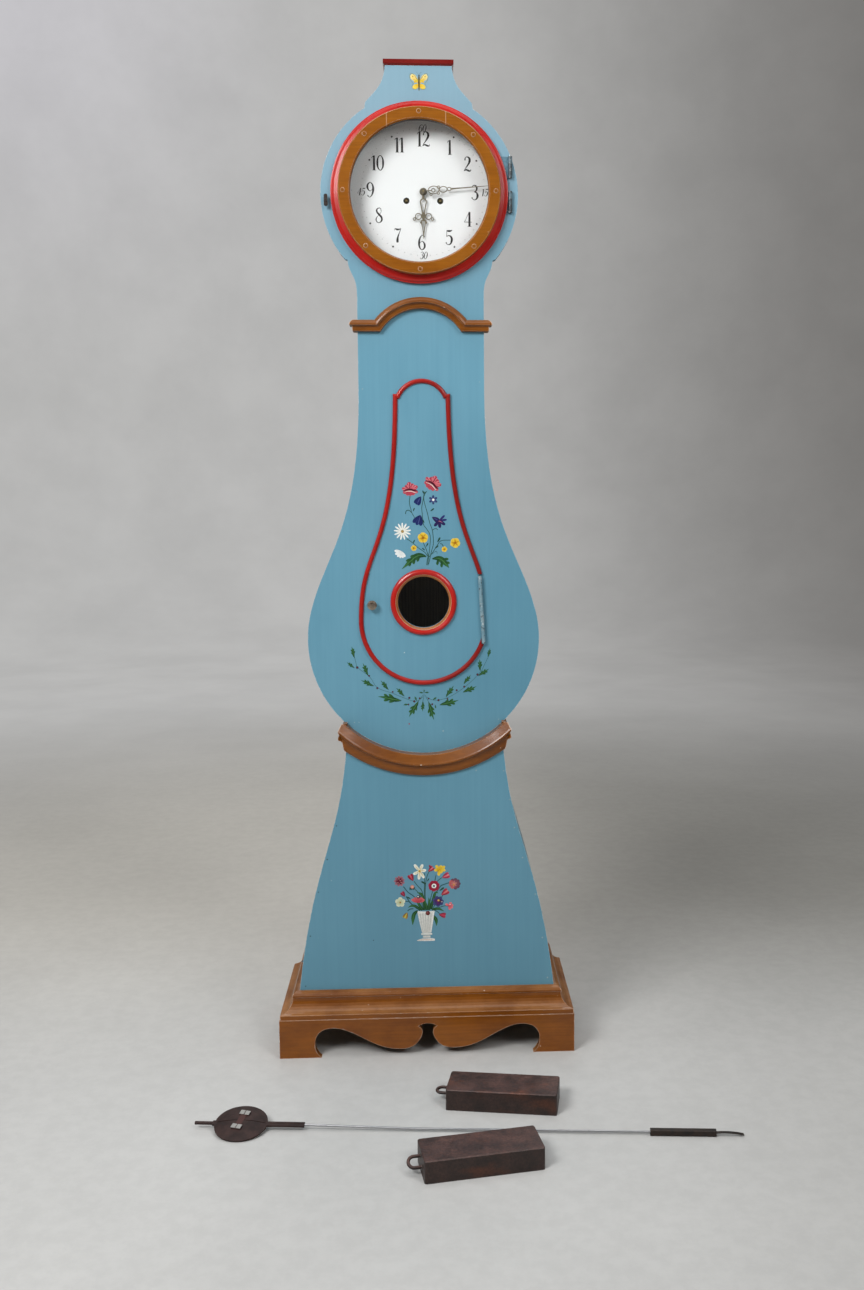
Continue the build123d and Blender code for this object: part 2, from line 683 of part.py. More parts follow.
# ---------------------------------------------------------------- the hood door
def make_hood_door():
    back = face_y - door_clear
    rim_face = back - rim_t
    ring_face = rim_face - ring_t
    flange = back - rim_flange_t
    rim = turned([(rim_open_r, back), (rim_r, back), (rim_r, flange), (rim_r - 2.5, flange - 1),
                  (rim_r - 4, flange - 4), (rim_r - 8, rim_face + 2), (ring_r - 2, rim_face),
                  (rim_open_r, rim_face)], 0, ring_z)
    rim -= rod_y(0, ring_z, hood_glass_r + glue_gap, back - hood_glass_t - putty_w, back)
    ring = turned([(ring_open_r, rim_face), (ring_r, rim_face), (ring_r, ring_face + 1.5),
                   (ring_r - 1.5, ring_face), (ring_open_r + 3, ring_face), (ring_open_r, ring_face + 4)],
                  0, ring_z)
    peg_back = rim_face + peg_depth
    pegs = []
    for i in range(peg_count):
        x, z = on_circle(0, ring_z, peg_circle_r, 360 * i / peg_count)
        hole = rod_y(x, z, peg_r + run, ring_face, peg_back)
        ring -= hole
        rim -= hole
        head = rod_y(x, z, peg_r, ring_face - peg_proud, peg_back)
        pegs.append(chamfer(head.edges().sort_by(Axis.Y)[0], peg_proud / 2).solid())
    fixed, moving = hood_hinges()
    for leaf in moving:
        rim -= leaf_pocket(leaf, back)
    write("hood_door_ring", ring)
    write("hood_door_rim", rim)
    write("ring_pegs", Compound(children=pegs))
    glass_front = back - hood_glass_t - putty_w
    write("hood_glass", rod_y(0, ring_z, hood_glass_r, glass_front, glass_front + hood_glass_t))
    glass_back = glass_front + hood_glass_t
    putty = turned([(hood_glass_r, glass_back), (hood_glass_r, back - 0.5), (hood_glass_r - 2, back - 0.5),
                    (hood_glass_r - putty_w, glass_back)], 0, ring_z)
    write("glass_putty", putty)
    write("hood_hinge_leaves", Compound(children=[leaf.solid() for leaf in fixed]))
    write("hood_door_hinges", Compound(children=[leaf.solid() for leaf in moving]))


def leaf_pocket(leaf, back):
    """The shallow mortise that lets a hinge leaf into the back of the rim."""
    size = leaf.bounding_box()
    pocket = box(size.min.X - glue_gap, size.max.X, back - leaf_t - glue_gap, back,
                 size.min.Z - glue_gap, size.max.Z + glue_gap)
    around = box(hood_hinge_x - barrel_r - 1, hood_hinge_x + barrel_r, face_y - 2 * barrel_r - 2, back,
                 size.min.Z - 1, size.max.Z + 1)
    return pocket + around


def make_hood_catch():
    """The small iron turn that holds the hood door, stored turned clear of it."""
    front = face_y - door_clear - rim_flange_t - 1.4
    strip = Pos(catch_x, catch_z) * Rot(0, 0, 90) * SlotOverall(catch_l, catch_w)
    turn = slab(strip, front - catch_t, catch_t)
    turn += rod_y(catch_x, catch_z, 0.4 * catch_w, front - 2 * catch_t, front - catch_t)
    turn += rod_y(catch_x, catch_z, 0.28 * catch_w, front, face_y)
    write("hood_catch", turn)


# ---------------------------------------------------------------- the case door
def make_case_door():
    door_face = face_y - door_proud
    edge = bead_w / 2 - bead_lip
    past_hinge = hinge_side(hinge_gap / 2) & hinge_band()
    shape = door_outline(edge) - past_hinge
    panel = slab(shape, door_face, door_t)
    curve = [(1, 0), (0.94, 0.35), (0.72, 0.7), (0.42, 0.92), (0.12, 1)]
    outer = loft([door_level(w * bead_w / 2, door_face - t * bead_t) for w, t in curve], ruled=True)
    hollow = loft([door_level(-w * bead_w / 2, door_face - t * bead_t) for w, t in curve], ruled=True)
    at_hinge = hinge_side(barrel_r + 1) & hinge_band(5)
    write("case_door_bead", outer - hollow - slab(at_hinge, door_face - bead_t, bead_t))

    panel -= rod_y(0, window_z, window_open_r, door_face, door_face + door_t)
    rebate = door_face + door_t - window_rebate
    panel -= rod_y(0, window_z, window_liner_r, rebate, door_face + door_t)
    panel -= rod_y(knob_x, knob_z, knob_stem_r + run, door_face, door_face + door_t)
    write("case_door_panel", panel)
    high = window_rim_t
    rim = turned([(window_liner_r, door_face), (window_rim_r, door_face),
                  (window_rim_r - 0.5, door_face - 0.45 * high), (window_rim_r - 3, door_face - 0.85 * high),
                  (window_rim_r - 6, door_face - high), (window_liner_r, door_face - 0.8 * high)],
                 0, window_z)
    write("window_rim", rim)
    liner_out = window_liner_r - glue_gap
    liner = turned([(window_open_r, door_face), (liner_out, door_face), (liner_out, door_face - 0.75 * high),
                    (window_open_r, door_face - 2)], 0, window_z)
    write("window_liner", liner)
    write("window_glass", rod_y(0, window_z, window_liner_r - glue_gap, rebate, rebate + window_glass_t))
    fixed, moving = case_hinge()
    write("case_hinge_leaf", fixed)
    write("case_door_hinge", moving)

    latch_front = board_back_y + door_clear
    knob = rod_y(knob_x, knob_z, knob_stem_r, door_face - 8, latch_front)
    head = turned([(0, door_face - 16), (0.6 * knob_r, door_face - 16), (knob_r, door_face - 13),
                   (knob_r, door_face - 10), (0.7 * knob_r, door_face - 6), (knob_stem_r, door_face - 1),
                   (0, door_face - 1)], knob_x, knob_z)
    latch = area(knob_x - latch_w / 2, knob_x + latch_w / 2, knob_z - latch_tail, knob_z + latch_reach)
    cam = slab(latch, latch_front, latch_t)
    write("case_knob", knob + head + cam)


# ---------------------------------------------------------------- wheels
def gear(teeth, module, phase, x, z, front, back, bore=0):
    """A toothed wheel; phase is the angle of one tooth, seen from the front, in degrees."""
    pitch_r = teeth * module / 2
    tip, root = pitch_r + 0.75 * module, pitch_r - 1.05 * module
    step = 360 / teeth
    corners = []
    for i in range(teeth):
        middle = phase + i * step
        for radius, share in ((root, -0.23), (tip, -0.09), (tip, 0.09), (root, 0.23)):
            corners.append(on_circle(x, z, radius, middle + share * step))
    wheel = make_face(Polyline(*corners, close=True))
    if bore:
        wheel -= round_area(x, z, bore)
    return slab(wheel, front, back - front)


def meshed_phase(lead_teeth, lead_phase, teeth, direction):
    """The phase that puts a wheel in mesh with the one that drives it from the given direction."""
    return direction + 180 - (lead_phase - direction) * lead_teeth / teeth + 180 / teeth


def crossed_out(wheel, x, z, pitch_r, hub_r, front, back):
    """Four windows cut in a wheel, which leave its rim and four arms."""
    ring = round_area(x, z, 0.78 * pitch_r) - round_area(x, z, hub_r)
    ring -= Pos(x, z) * Rectangle(2 * pitch_r, 0.14 * pitch_r)
    ring -= Pos(x, z) * Rectangle(0.14 * pitch_r, 2 * pitch_r)
    return wheel - slab(ring, front, back - front)


def direction(start, end):
    return degrees(atan2(end[1] - start[1], end[0] - start[0]))


# Arbor places, from the middle of the dial, and the module that the two great wheels share.
centre = (dial_x, dial_z)
going = (dial_x + winding_x, dial_z + winding_z)
striking = (dial_x - winding_x, dial_z + winding_z)
great_module = 2 * hypot(winding_x, winding_z) / (great_teeth + centre_pinion_teeth)
third_arm = centre_module * (centre_teeth + small_pinion_teeth) / 2
third = (dial_x + third_arm * sin(pi / 4), dial_z + third_arm * cos(pi / 4))
escape_arm = third_module * (third_teeth + small_pinion_teeth) / 2
escape = (dial_x, third[1] + sqrt(escape_arm**2 - (third[0] - dial_x) ** 2))
pallet = (dial_x, escape[1] + 1.5 * escape_r)
pin_arm = great_module * (strike_great_teeth + small_pinion_teeth) / 2
pin_wheel_at = on_circle(*striking, pin_arm, pin_wheel_turn)
fly_arm = third_module * (pin_wheel_teeth + small_pinion_teeth) / 2
fly_at = on_circle(*pin_wheel_at, fly_arm, fly_turn)
hammer_at = (dial_x - bell_r - hammer_off, plate_high_z - hammer_drop)
minute_stud = (dial_x, dial_z - motion_centres)
front_plate_back = front_plate_y + plate_t
back_plate_y = front_plate_back + plate_space
cock_y = back_plate_y + plate_t + 18


def arbor(at, front, back, radius=arbor_r):
    return rod_y(*at, radius, front, back)


def make_movement_frame():
    x0, x1 = dial_x - plate_w / 2, dial_x + plate_w / 2
    shape = area(x0, x1, plate_low_z, plate_high_z)
    between = [centre, third, escape, pallet, pin_wheel_at, fly_at, hammer_at, going, striking]
    holes = Sketch() + [round_area(*at, arbor_r + run) for at in between[:-2]]
    winding = Sketch() + [round_area(*at, 2 * arbor_r + run) for at in (going, striking)]
    front = slab(shape - holes - winding, front_plate_y, plate_t)
    front += arbor(minute_stud, front_plate_y - 12, front_plate_y + 1)
    back = slab(shape - holes - winding, back_plate_y, plate_t)
    write("movement_plates", Compound(children=[front.solid(), back.solid()]))
    inset = 9
    pillars = []
    for x in (x0 + inset, x1 - inset):
        for z in (plate_low_z + inset, plate_high_z - inset):
            pillar = rod_y(x, z, 0.7 * pillar_r, front_plate_back, back_plate_y)
            pillar += rod_y(x, z, pillar_r, front_plate_back, front_plate_back + 5)
            pillar += rod_y(x, z, pillar_r, back_plate_y - 5, back_plate_y)
            pillars.append(pillar.solid())
    corners = ((-1, -1), (1, -1), (-1, 1), (1, 1))
    for side_x, side_z in corners:
        x, z = dial_x + side_x * 0.55 * plate_w, dial_z + side_z * 0.3 * plate_w
        x = min(max(x, x0 + 2 * inset), x1 - 2 * inset)
        pillars.append(rod_y(x, z, 0.5 * pillar_r, dial_y + dial_t, front_plate_y).solid())
    write("movement_pillars", Compound(children=pillars))
    cock_z = pallet[1]
    cock = box(dial_x - 22, dial_x + 22, cock_y, cock_y + 3, cock_z - 9, cock_z + 9)
    for side in (-18, 18):
        arm_x = dial_x + side
        cock += box(arm_x - 4, arm_x + 4, back_plate_y + plate_t, cock_y, cock_z - 6, cock_z + 6)
    cock += box(dial_x - 5, dial_x + 5, cock_y + 3, cock_y + 28, cock_z + 3, cock_z + 9)
    cock -= box(dial_x - 0.7, dial_x + 0.7, cock_y + 14, cock_y + 28, cock_z + 3, cock_z + 9)
    cock -= rod_y(*pallet, arbor_r + run, cock_y, cock_y + 3)
    write("pendulum_cock", cock)

    dial = rod_y(dial_x, dial_z, dial_r, dial_y, dial_y + dial_t)
    dial -= rod_y(dial_x, dial_z, 3.4 * arbor_r, dial_y, dial_y + dial_t)
    for at in (going, striking):
        dial -= rod_y(*at, winding_hole_r, dial_y, dial_y + dial_t)
    write("dial", dial)

    bell_x, bell_y = dial_x, (front_plate_back + back_plate_y) / 2
    bowl = [(0, 0), (0.2 * bell_r, 0), (0.6 * bell_r, 0.08 * bell_r), (0.86 * bell_r, 0.3 * bell_r),
            (0.95 * bell_r, 0.6 * bell_r), (bell_r, 0.8 * bell_r)]
    inner = [(radius - bell_t, drop + bell_t) for radius, drop in bowl[:1:-1]]
    inner += [(0.2 * bell_r, bell_t), (0, bell_t)]
    shell = make_face(Polyline(*[(radius, 0, -drop) for radius, drop in bowl + inner], close=True))
    top = bell_z + 0.8 * bell_r
    stand_r = 3
    write("bell", Pos(bell_x, bell_y, top) * (revolve(shell, Axis.Z) - Cylinder(stand_r, 4 * bell_t)))
    upright = [(stand_r, plate_high_z + 6, top + 9), (2 * stand_r, top - bell_t - 6, top - bell_t),
               (2 * stand_r, top, top + 5)]
    stand = box(bell_x - 8, bell_x + 8, front_plate_y, back_plate_y + plate_t, plate_high_z, plate_high_z + 6)
    for radius, z0, z1 in upright:
        stand += Pos(bell_x, bell_y, (z0 + z1) / 2) * Cylinder(radius, z1 - z0)
    write("bell_stand", stand)


def make_going_train():
    great_front, great_back = front_plate_back + 12, front_plate_back + 15
    drum_back = back_plate_y - 13
    great_phase = 0
    great = gear(great_teeth, great_module, great_phase, *going, great_front, great_back, 2 * arbor_r + run)
    great = crossed_out(great, *going, great_teeth * great_module / 2, drum_r, great_front, great_back)
    write("going_great_wheel", great)
    write("going_barrel", barrel(going, great_back + 0.3, drum_back))

    to_centre = direction(going, centre)
    pinion_phase = meshed_phase(great_teeth, great_phase, centre_pinion_teeth, to_centre)
    wheel_front = back_plate_y - 10
    centre_wheel = gear(centre_teeth, centre_module, 0, *centre, wheel_front, wheel_front + 1.6)
    pitch_r = centre_teeth * centre_module / 2
    centre_wheel = crossed_out(centre_wheel, *centre, pitch_r, 5, wheel_front, wheel_front + 1.6)
    pinion = (centre_pinion_teeth, great_module, pinion_phase)
    centre_wheel += gear(*pinion, *centre, great_front - 0.5, great_back + 2)
    centre_wheel += arbor(centre, dial_y - 12.4, back_plate_y + plate_t)
    write("centre_wheel", centre_wheel)

    small = (small_pinion_teeth, centre_module)
    third_phase = meshed_phase(centre_teeth, 0, small[0], direction(centre, third))
    third_front = wheel_front + 4.5
    third_wheel = gear(third_teeth, third_module, 0, *third, third_front, third_front + 1.6)
    pitch_r = third_teeth * third_module / 2
    third_wheel = crossed_out(third_wheel, *third, pitch_r, 4, third_front, third_front + 1.6)
    third_wheel += gear(*small, third_phase, *third, wheel_front - 1, third_front)
    third_wheel += arbor(third, front_plate_y, back_plate_y + plate_t)
    write("third_wheel", third_wheel)

    escape_phase = meshed_phase(third_teeth, 0, small_pinion_teeth, direction(third, escape))
    escape_front = wheel_front - 8
    wheel = escape_wheel_face()
    solid = slab(wheel, escape_front, 1.6)
    solid += gear(small_pinion_teeth, third_module, escape_phase, *escape, third_front - 1, third_front + 3)
    solid += arbor(escape, front_plate_y, back_plate_y + plate_t)
    write("escape_wheel", solid)

    span = radians(36)
    clear_r = escape_r + 0.5
    left = (escape[0] - clear_r * sin(span), escape[1] + clear_r * cos(span))
    right = (escape[0] + clear_r * sin(span), left[1])
    top = pallet[1] + 3
    arms = make_face(Polyline(left, (left[0] - 3, left[1] + 3), (pallet[0] - 6, top), (pallet[0] + 6, top),
                              (right[0] + 3, right[1] + 3), right, (pallet[0] + 2, pallet[1] - 4),
                              (pallet[0] - 2, pallet[1] - 4), close=True))
    anchor = slab(arms, escape_front - 1, 3.6)
    anchor += arbor(pallet, front_plate_y, cock_y + 3)
    crutch_y = back_plate_y + plate_t + 6
    drop = crutch_drop
    anchor += box(pallet[0] - 2.5, pallet[0] + 2.5, crutch_y, crutch_y + 2, pallet[1] - drop, pallet[1] + 3)
    x, fork_z = pallet[0], pallet[1] - drop
    fork = box(x - 5, x + 5, crutch_y, crutch_y + 26, fork_z - 4, fork_z)
    fork -= box(x - 3, x + 3, crutch_y + 12, crutch_y + 24, fork_z - 4, fork_z)
    write("anchor_and_crutch", anchor + fork)


def escape_wheel_face():
    """Thirty pointed teeth that lean the way the wheel turns."""
    corners = []
    step = 360 / escape_teeth
    for i in range(escape_teeth):
        corners.append(on_circle(*escape, escape_r, i * step))
        corners.append(on_circle(*escape, 0.8 * escape_r, (i + 0.12) * step))
        corners.append(on_circle(*escape, 0.8 * escape_r, (i + 0.62) * step))
    ring = round_area(*escape, 0.68 * escape_r) - round_area(*escape, 4)
    ring -= Pos(*escape) * Rectangle(2 * escape_r, 3)
    ring -= Pos(*escape) * Rectangle(3, 2 * escape_r)
    return make_face(Polyline(*corners, close=True)) - ring


def barrel(at, front, back):
    """A grooved drum on its winding arbor, which ends in a square behind the dial."""
    drum = rod_y(*at, drum_r, front, back)
    grooves = 8
    pitch = (back - front - 6) / grooves
    for i in range(grooves):
        y = front + 3 + i * pitch
        drum -= turned([(drum_r - 1.2, y + 0.3 * pitch), (drum_r + 1, y), (drum_r + 1, y + 0.8 * pitch),
                        (drum_r - 1.2, y + 0.5 * pitch)], *at)
    drum += arbor(at, front_plate_y - 1, back_plate_y + plate_t, 2 * arbor_r)
    square = Pos(*at) * Rectangle(2.6 * arbor_r, 2.6 * arbor_r)
    return drum + slab(square, dial_y - 1, front_plate_y - dial_y)


def make_strike_train():
    great_front, great_back = front_plate_back + 5, front_plate_back + 8
    great = gear(strike_great_teeth, great_module, 0, *striking, great_front, great_back, 2 * arbor_r + run)
    pitch_r = strike_great_teeth * great_module / 2
    great = crossed_out(great, *striking, pitch_r, drum_r, great_front, great_back)
    write("strike_great_wheel", great)
    write("strike_barrel", barrel(striking, great_back + 0.3, back_plate_y - 13))

    phase = meshed_phase(strike_great_teeth, 0, small_pinion_teeth, direction(striking, pin_wheel_at))
    wheel_front = back_plate_y - 9
    wheel = gear(pin_wheel_teeth, third_module, 0, *pin_wheel_at, wheel_front, wheel_front + 1.6)
    for i in range(8):
        wheel += rod_y(*on_circle(*pin_wheel_at, 0.7 * pin_wheel_teeth * third_module / 2, 45 * i), 0.8,
                       wheel_front - 4, wheel_front)
    wheel += gear(small_pinion_teeth, great_module, phase, *pin_wheel_at, great_front - 0.5, great_back + 1)
    wheel += arbor(pin_wheel_at, front_plate_y, back_plate_y + plate_t)
    write("pin_wheel", wheel)

    fly_phase = meshed_phase(pin_wheel_teeth, 0, small_pinion_teeth, direction(pin_wheel_at, fly_at))
    fly = gear(small_pinion_teeth, third_module, fly_phase, *fly_at, wheel_front - 1, wheel_front + 3)
    fly += arbor(fly_at, front_plate_y, back_plate_y + plate_t)
    vane = Pos(*fly_at) * Rectangle(24, 1)
    fly += slab(vane, front_plate_back + 14, 26)
    write("fly", fly)

    arm_y = (front_plate_back + back_plate_y) / 2
    hammer = arbor(hammer_at, front_plate_y, back_plate_y + plate_t)
    hammer += box(hammer_at[0] - 2, hammer_at[0] + 2, arm_y - 2, arm_y + 2, hammer_at[1] - 2, bell_z + 8)
    head_x = dial_x - bell_r - 1.5
    head = Pos((hammer_at[0] + head_x) / 2 - 3, arm_y, bell_z + 8)
    hammer += head * Rot(0, 90, 0) * Cylinder(5, 14)
    write("hammer", hammer)


# ---------------------------------------------------------------- hands and motion work
def make_hands():
    motion_back = front_plate_y - 1
    minute_module = 2 * motion_centres / (cannon_teeth + minute_wheel_teeth)
    hour_module = 2 * motion_centres / (minute_pinion_teeth + hour_teeth)
    cannon = gear(cannon_teeth, minute_module, 0, *centre, motion_back - 3, motion_back, arbor_r + run)
    pipe_r = arbor_r + 1
    minute_y = dial_y - 9
    pipe = rod_y(*centre, pipe_r, minute_y - hand_t - 1, motion_back - 3)
    pipe -= rod_y(*centre, arbor_r + run, minute_y - 9, motion_back)
    write("cannon_pinion", cannon + pipe)

    phase = meshed_phase(cannon_teeth, 0, minute_wheel_teeth, -90)
    front, back, bore = motion_back - 2.4, motion_back - 0.6, arbor_r + run
    wheel = gear(minute_wheel_teeth, minute_module, phase, *minute_stud, front, back, bore)
    wheel = crossed_out(wheel, *minute_stud, 0.46 * minute_wheel_teeth * minute_module, 6.5, front, back)
    wheel += gear(minute_pinion_teeth, hour_module, phase, *minute_stud, motion_back - 7, front, bore)
    write("minute_wheel", wheel)

    hour_front = motion_back - 6.2
    hour_phase = meshed_phase(minute_pinion_teeth, phase, hour_teeth, 90)
    hour_pipe_r = pipe_r + run + 1
    hour_y = dial_y - 4
    hour = gear(hour_teeth, hour_module, hour_phase, *centre, hour_front, hour_front + 1.6, pipe_r + run)
    pipe = rod_y(*centre, hour_pipe_r, hour_y - hand_t - 0.5, hour_front)
    hour += pipe - rod_y(*centre, pipe_r + run, hour_y - 4, hour_front)
    write("hour_wheel", hour)

    minute_shape = Pos(*centre) * Rot(0, 0, minute_hand_turn) * minute_hand_shape()
    minute = slab(minute_shape, minute_y - hand_t, hand_t)
    minute -= rod_y(*centre, pipe_r + run / 2, minute_y - 2, minute_y)
    collet = [(arbor_r + run, minute_y - hand_t), (6, minute_y - hand_t), (3.4, minute_y - 3.4),
              (arbor_r + run, minute_y - 3.4)]
    collet = turned(collet, *centre) - rod_y(*centre, pipe_r + run / 2, minute_y - hand_t - 1, minute_y)
    write("minute_hand", minute + collet)
    hour_shape = Pos(*centre) * Rot(0, 0, -90) * hour_hand_shape()
    hour_hand = slab(hour_shape, hour_y - hand_t, hand_t)
    write("hour_hand", hour_hand - rod_y(*centre, hour_pipe_r + run / 2, hour_y - 2, hour_y))


def loop_ring(x, y, radius):
    """A round open loop in a pierced hand."""
    return open_oval(x, y, radius, radius)


def open_oval(x, y, long, wide):
    """An oval open loop, from its half lengths."""
    line = 1.7
    return Pos(x, y) * (Ellipse(long, wide) - Ellipse(long - line, wide - line))


def spike(corners, unit):
    """A straight-sided piece from the corners of its upper half."""
    whole = corners + [(x, -y) for x, y in reversed(corners)]
    return make_face(Polyline(*[(x * unit, y * unit) for x, y in whole], close=True))


def minute_hand_shape():
    """A pierced minute hand that points to +X: a chain of loops and a long taper."""
    unit = minute_hand_len / 141
    shape = Circle(6 * unit) + Pos(9.5 * unit, 0) * Rectangle(18 * unit, 1.8)
    ovals = ((22.5, 0.6, 12.4, 8.8), (43.4, 0.2, 9, 6.9), (56, 0, 5, 4.2), (21.8, 0, 4.6, 4.6))
    for x, y, long, wide in ovals:
        shape += open_oval(x * unit, y * unit, long * unit, wide * unit)
    for x, y, radius in ((16, -8.4, 3.2), (32, -6.6, 3.2), (33.5, 5.6, 3.4)):
        shape += loop_ring(x * unit, y * unit, radius * unit)
    return shape + spike([(59, 2.2), (66, 1.5), (141, 0.5)], unit)


def hour_hand_shape():
    """A pierced hour hand that points to +X: a long drop, a knot of scrolls and an open leaf."""
    unit = hour_hand_len / 99
    shape = Circle(8 * unit) + Pos(11 * unit, 0) * Rectangle(12 * unit, 5 * unit)
    shape += Pos(21.5 * unit, 0) * Circle(7.6 * unit)
    shape += spike([(22.4, 7.55), (46, 3.2)], unit)
    shape -= Pos(21.8 * unit, 0) * Circle(5.3 * unit)
    shape -= spike([(22.6, 5.22), (43, 1.2)], unit)
    shape += Pos(51 * unit, 0) * Circle(5.6 * unit)
    for side in (-1, 1):
        shape += loop_ring(52 * unit, side * 11 * unit, 7.2 * unit)
        shape += loop_ring(57.5 * unit, side * 19.4 * unit, 3.6 * unit)
        shape += Pos(65 * unit, side * 5.8 * unit) * Circle(2.1 * unit)
    shape += Pos(58 * unit, 0) * Rectangle(8 * unit, 5 * unit)
    shape += spike([(60, 5.6), (64, 5.8), (84, 1.6), (99, 0.5)], unit)
    return shape - spike([(62, 3.6), (83, 0.3)], unit)


# ---------------------------------------------------------------- pendulum and weights
def make_pendulum():
    """The pendulum lies on the curve of its bob and on the block at its other end."""
    edge = 1.5
    lean = radians(bob_lean)
    swell = bob_t / 2 - edge
    ball_r = (bob_r**2 + swell**2) / (2 * swell)
    ball_z = ball_r - bob_t / 2
    rise = ball_r - ball_z * cos(lean)
    fall = rise - block_size / 2
    down = degrees(atan2(fall, block_start))
    lie = Pos(bob_x, plinth_face_y - bob_off, rise + 0.12) * Rot(0, 0, pendulum_turn)
    tilt = lie * Rot(bob_lean, 0, 0) * Rot(0, down, 0)
    slot_w, slot_t = (bar_w + glue_gap) / 2, (bar_t + glue_gap) / 2
    mouth = bob_r - 3.5
    bob = Cylinder(bob_r, bob_t) & Pos(0, 0, ball_z) * Sphere(ball_r) & Pos(0, 0, -ball_z) * Sphere(ball_r)
    bob -= box(-bob_r - 1, bob_r + 1, -slot_w, slot_w, -slot_t, slot_t)
    bob -= box(-bob_r - 1, bob_r + 1, -slit_w / 2, slit_w / 2, 0, bob_t)
    bob -= box(-bob_r - 1, -mouth, -slot_w, slot_w, -bob_t, bob_t)
    bob -= box(mouth, bob_r + 1, -slot_w, slot_w, -bob_t, bob_t)
    strap = box(-6, 6, -0.5 * bob_r, 0.5 * bob_r, 0.3 * bob_t, 0.53 * bob_t)
    for side in (-1, 1):
        for x in (-5.4, 5.4):
            y = side * 0.4 * bob_r
            strap += box(x - 4.6, x + 4.6, y - 6, y + 6, 0.4 * bob_t, 0.62 * bob_t)
    write("pendulum_bob", tilt * (bob + Rot(0, 0, strap_turn) * strap))
    bar = box(-bob_r - 4, bar_end, -bar_w / 2, bar_w / 2, -bar_t / 2, bar_t / 2)
    bar += box(-bar_tip, -bob_r - 4, -0.25 * bar_w, 0.25 * bar_w, -bar_t / 2, bar_t / 2)
    bar -= box(bob_r + 4, bar_end - 8, -0.5, 0.5, bar_t / 2 - 0.8, bar_t / 2)
    write("pendulum_bar", tilt * bar)

    start = (Rot(bob_lean, 0, 0) * Rot(0, down, 0) * Pos(bar_end + glue_gap, 0, 0)).position
    low = -rise + block_size / 2
    wire_path = FilletPolyline((start.X, start.Y, start.Z), (0.42 * block_start, 0, low),
                               (block_start - glue_gap, 0, low), radius=rod_bend)
    wire = sweep(Plane(origin=wire_path @ 0, z_dir=wire_path % 0) * Circle(rod_r), wire_path)
    write("pendulum_rod", lie * wire)
    block = Pos((block_start + block_end) / 2, 0, low) * Box(block_end - block_start, block_size, block_size)
    block = chamfer(block.edges().filter_by(Axis.X), 1)
    first = block_end - 6
    length = spring_end - first
    bend = ThreePointArc((first, 0, low), (first + 0.55 * length, 0, low + 1), (spring_end, 0, low - 2.5))
    strip = Plane(origin=bend @ 0, z_dir=bend % 0, x_dir=(0, 1, 0)) * Rectangle(7, spring_t)
    write("pendulum_suspension", lie * (block + sweep(strip, bend)))


def make_weights():
    """Each iron weight is a cast block with a bent wire loop in one end."""
    for name, (x, off, turn, loop_turn) in weight_places.items():
        block = Box(weight_l, weight_w, weight_h)
        block = fillet(block.edges().filter_by(Axis.Z), 5)
        block = chamfer(block.faces().sort_by(Axis.Z)[-1].edges(), 1.5)
        root, bend = -weight_l / 2 + 6, -weight_l / 2 - loop_leg
        legs = Curve() + [
            Line((root, loop_r, 0), (bend, loop_r, 0)),
            ThreePointArc((bend, loop_r, 0), (bend - loop_r, 0, 0), (bend, -loop_r, 0)),
            Line((bend, -loop_r, 0), (root, -loop_r, 0)),
        ]
        section = Plane(origin=(root, loop_r, 0), z_dir=(-1, 0, 0)) * Circle(loop_wire_r)
        loop = sweep(section, Wire(legs.edges()))
        place = Pos(x, plinth_face_y - off, weight_h / 2) * Rot(0, 0, turn)
        write(name, place * (block + Rot(loop_turn, 0, 0) * loop))


os.makedirs("parts", exist_ok=True)
make_case()
make_hood_door()
make_hood_catch()
make_case_door()
make_movement_frame()
make_going_train()
make_strike_train()
make_hands()
make_pendulum()
make_weights()
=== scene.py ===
from math import cos, hypot, pi, radians, sin

import bmesh
import bpy
from mathutils import Matrix, Vector


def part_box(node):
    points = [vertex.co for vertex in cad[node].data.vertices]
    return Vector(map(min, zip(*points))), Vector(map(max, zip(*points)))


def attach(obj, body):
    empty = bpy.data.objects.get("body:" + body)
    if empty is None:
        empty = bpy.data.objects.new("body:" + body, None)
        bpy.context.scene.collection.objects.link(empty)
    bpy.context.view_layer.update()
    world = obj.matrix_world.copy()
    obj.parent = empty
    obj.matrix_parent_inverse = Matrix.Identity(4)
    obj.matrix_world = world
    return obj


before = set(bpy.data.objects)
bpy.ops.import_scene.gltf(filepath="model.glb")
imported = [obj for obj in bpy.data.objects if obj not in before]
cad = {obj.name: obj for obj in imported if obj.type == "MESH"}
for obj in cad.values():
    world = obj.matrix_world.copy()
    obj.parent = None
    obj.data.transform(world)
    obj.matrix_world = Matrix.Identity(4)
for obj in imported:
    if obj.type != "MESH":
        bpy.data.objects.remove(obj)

scene = bpy.context.scene
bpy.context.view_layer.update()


# ---------------------------------------------------------------- the camera
# It stands about three metres in front of the clock, level with the waist, turned a little to the
# right and tipped a little down. The shift puts the clock left of the middle.
camera = bpy.data.objects.new("camera", bpy.data.cameras.new("camera"))
scene.collection.objects.link(camera)
scene.camera = camera
scene.view_settings.view_transform = "Standard"
camera.data.sensor_width = 36
camera.data.lens = 35.42
camera.data.shift_x = -0.0505
camera.data.shift_y = -0.0191
camera.data.clip_end = 60
stand = (0.0159, -3.0721, 1.2799)
turned_right, tipped_down, leant = -0.0524, 0.1059, -0.0039
camera.matrix_world = (
    Matrix.Translation(stand)
    @ Matrix.Rotation(turned_right, 4, "Z")
    @ Matrix.Rotation(pi / 2 - tipped_down, 4, "X")
    @ Matrix.Rotation(leant, 4, "Z")
)
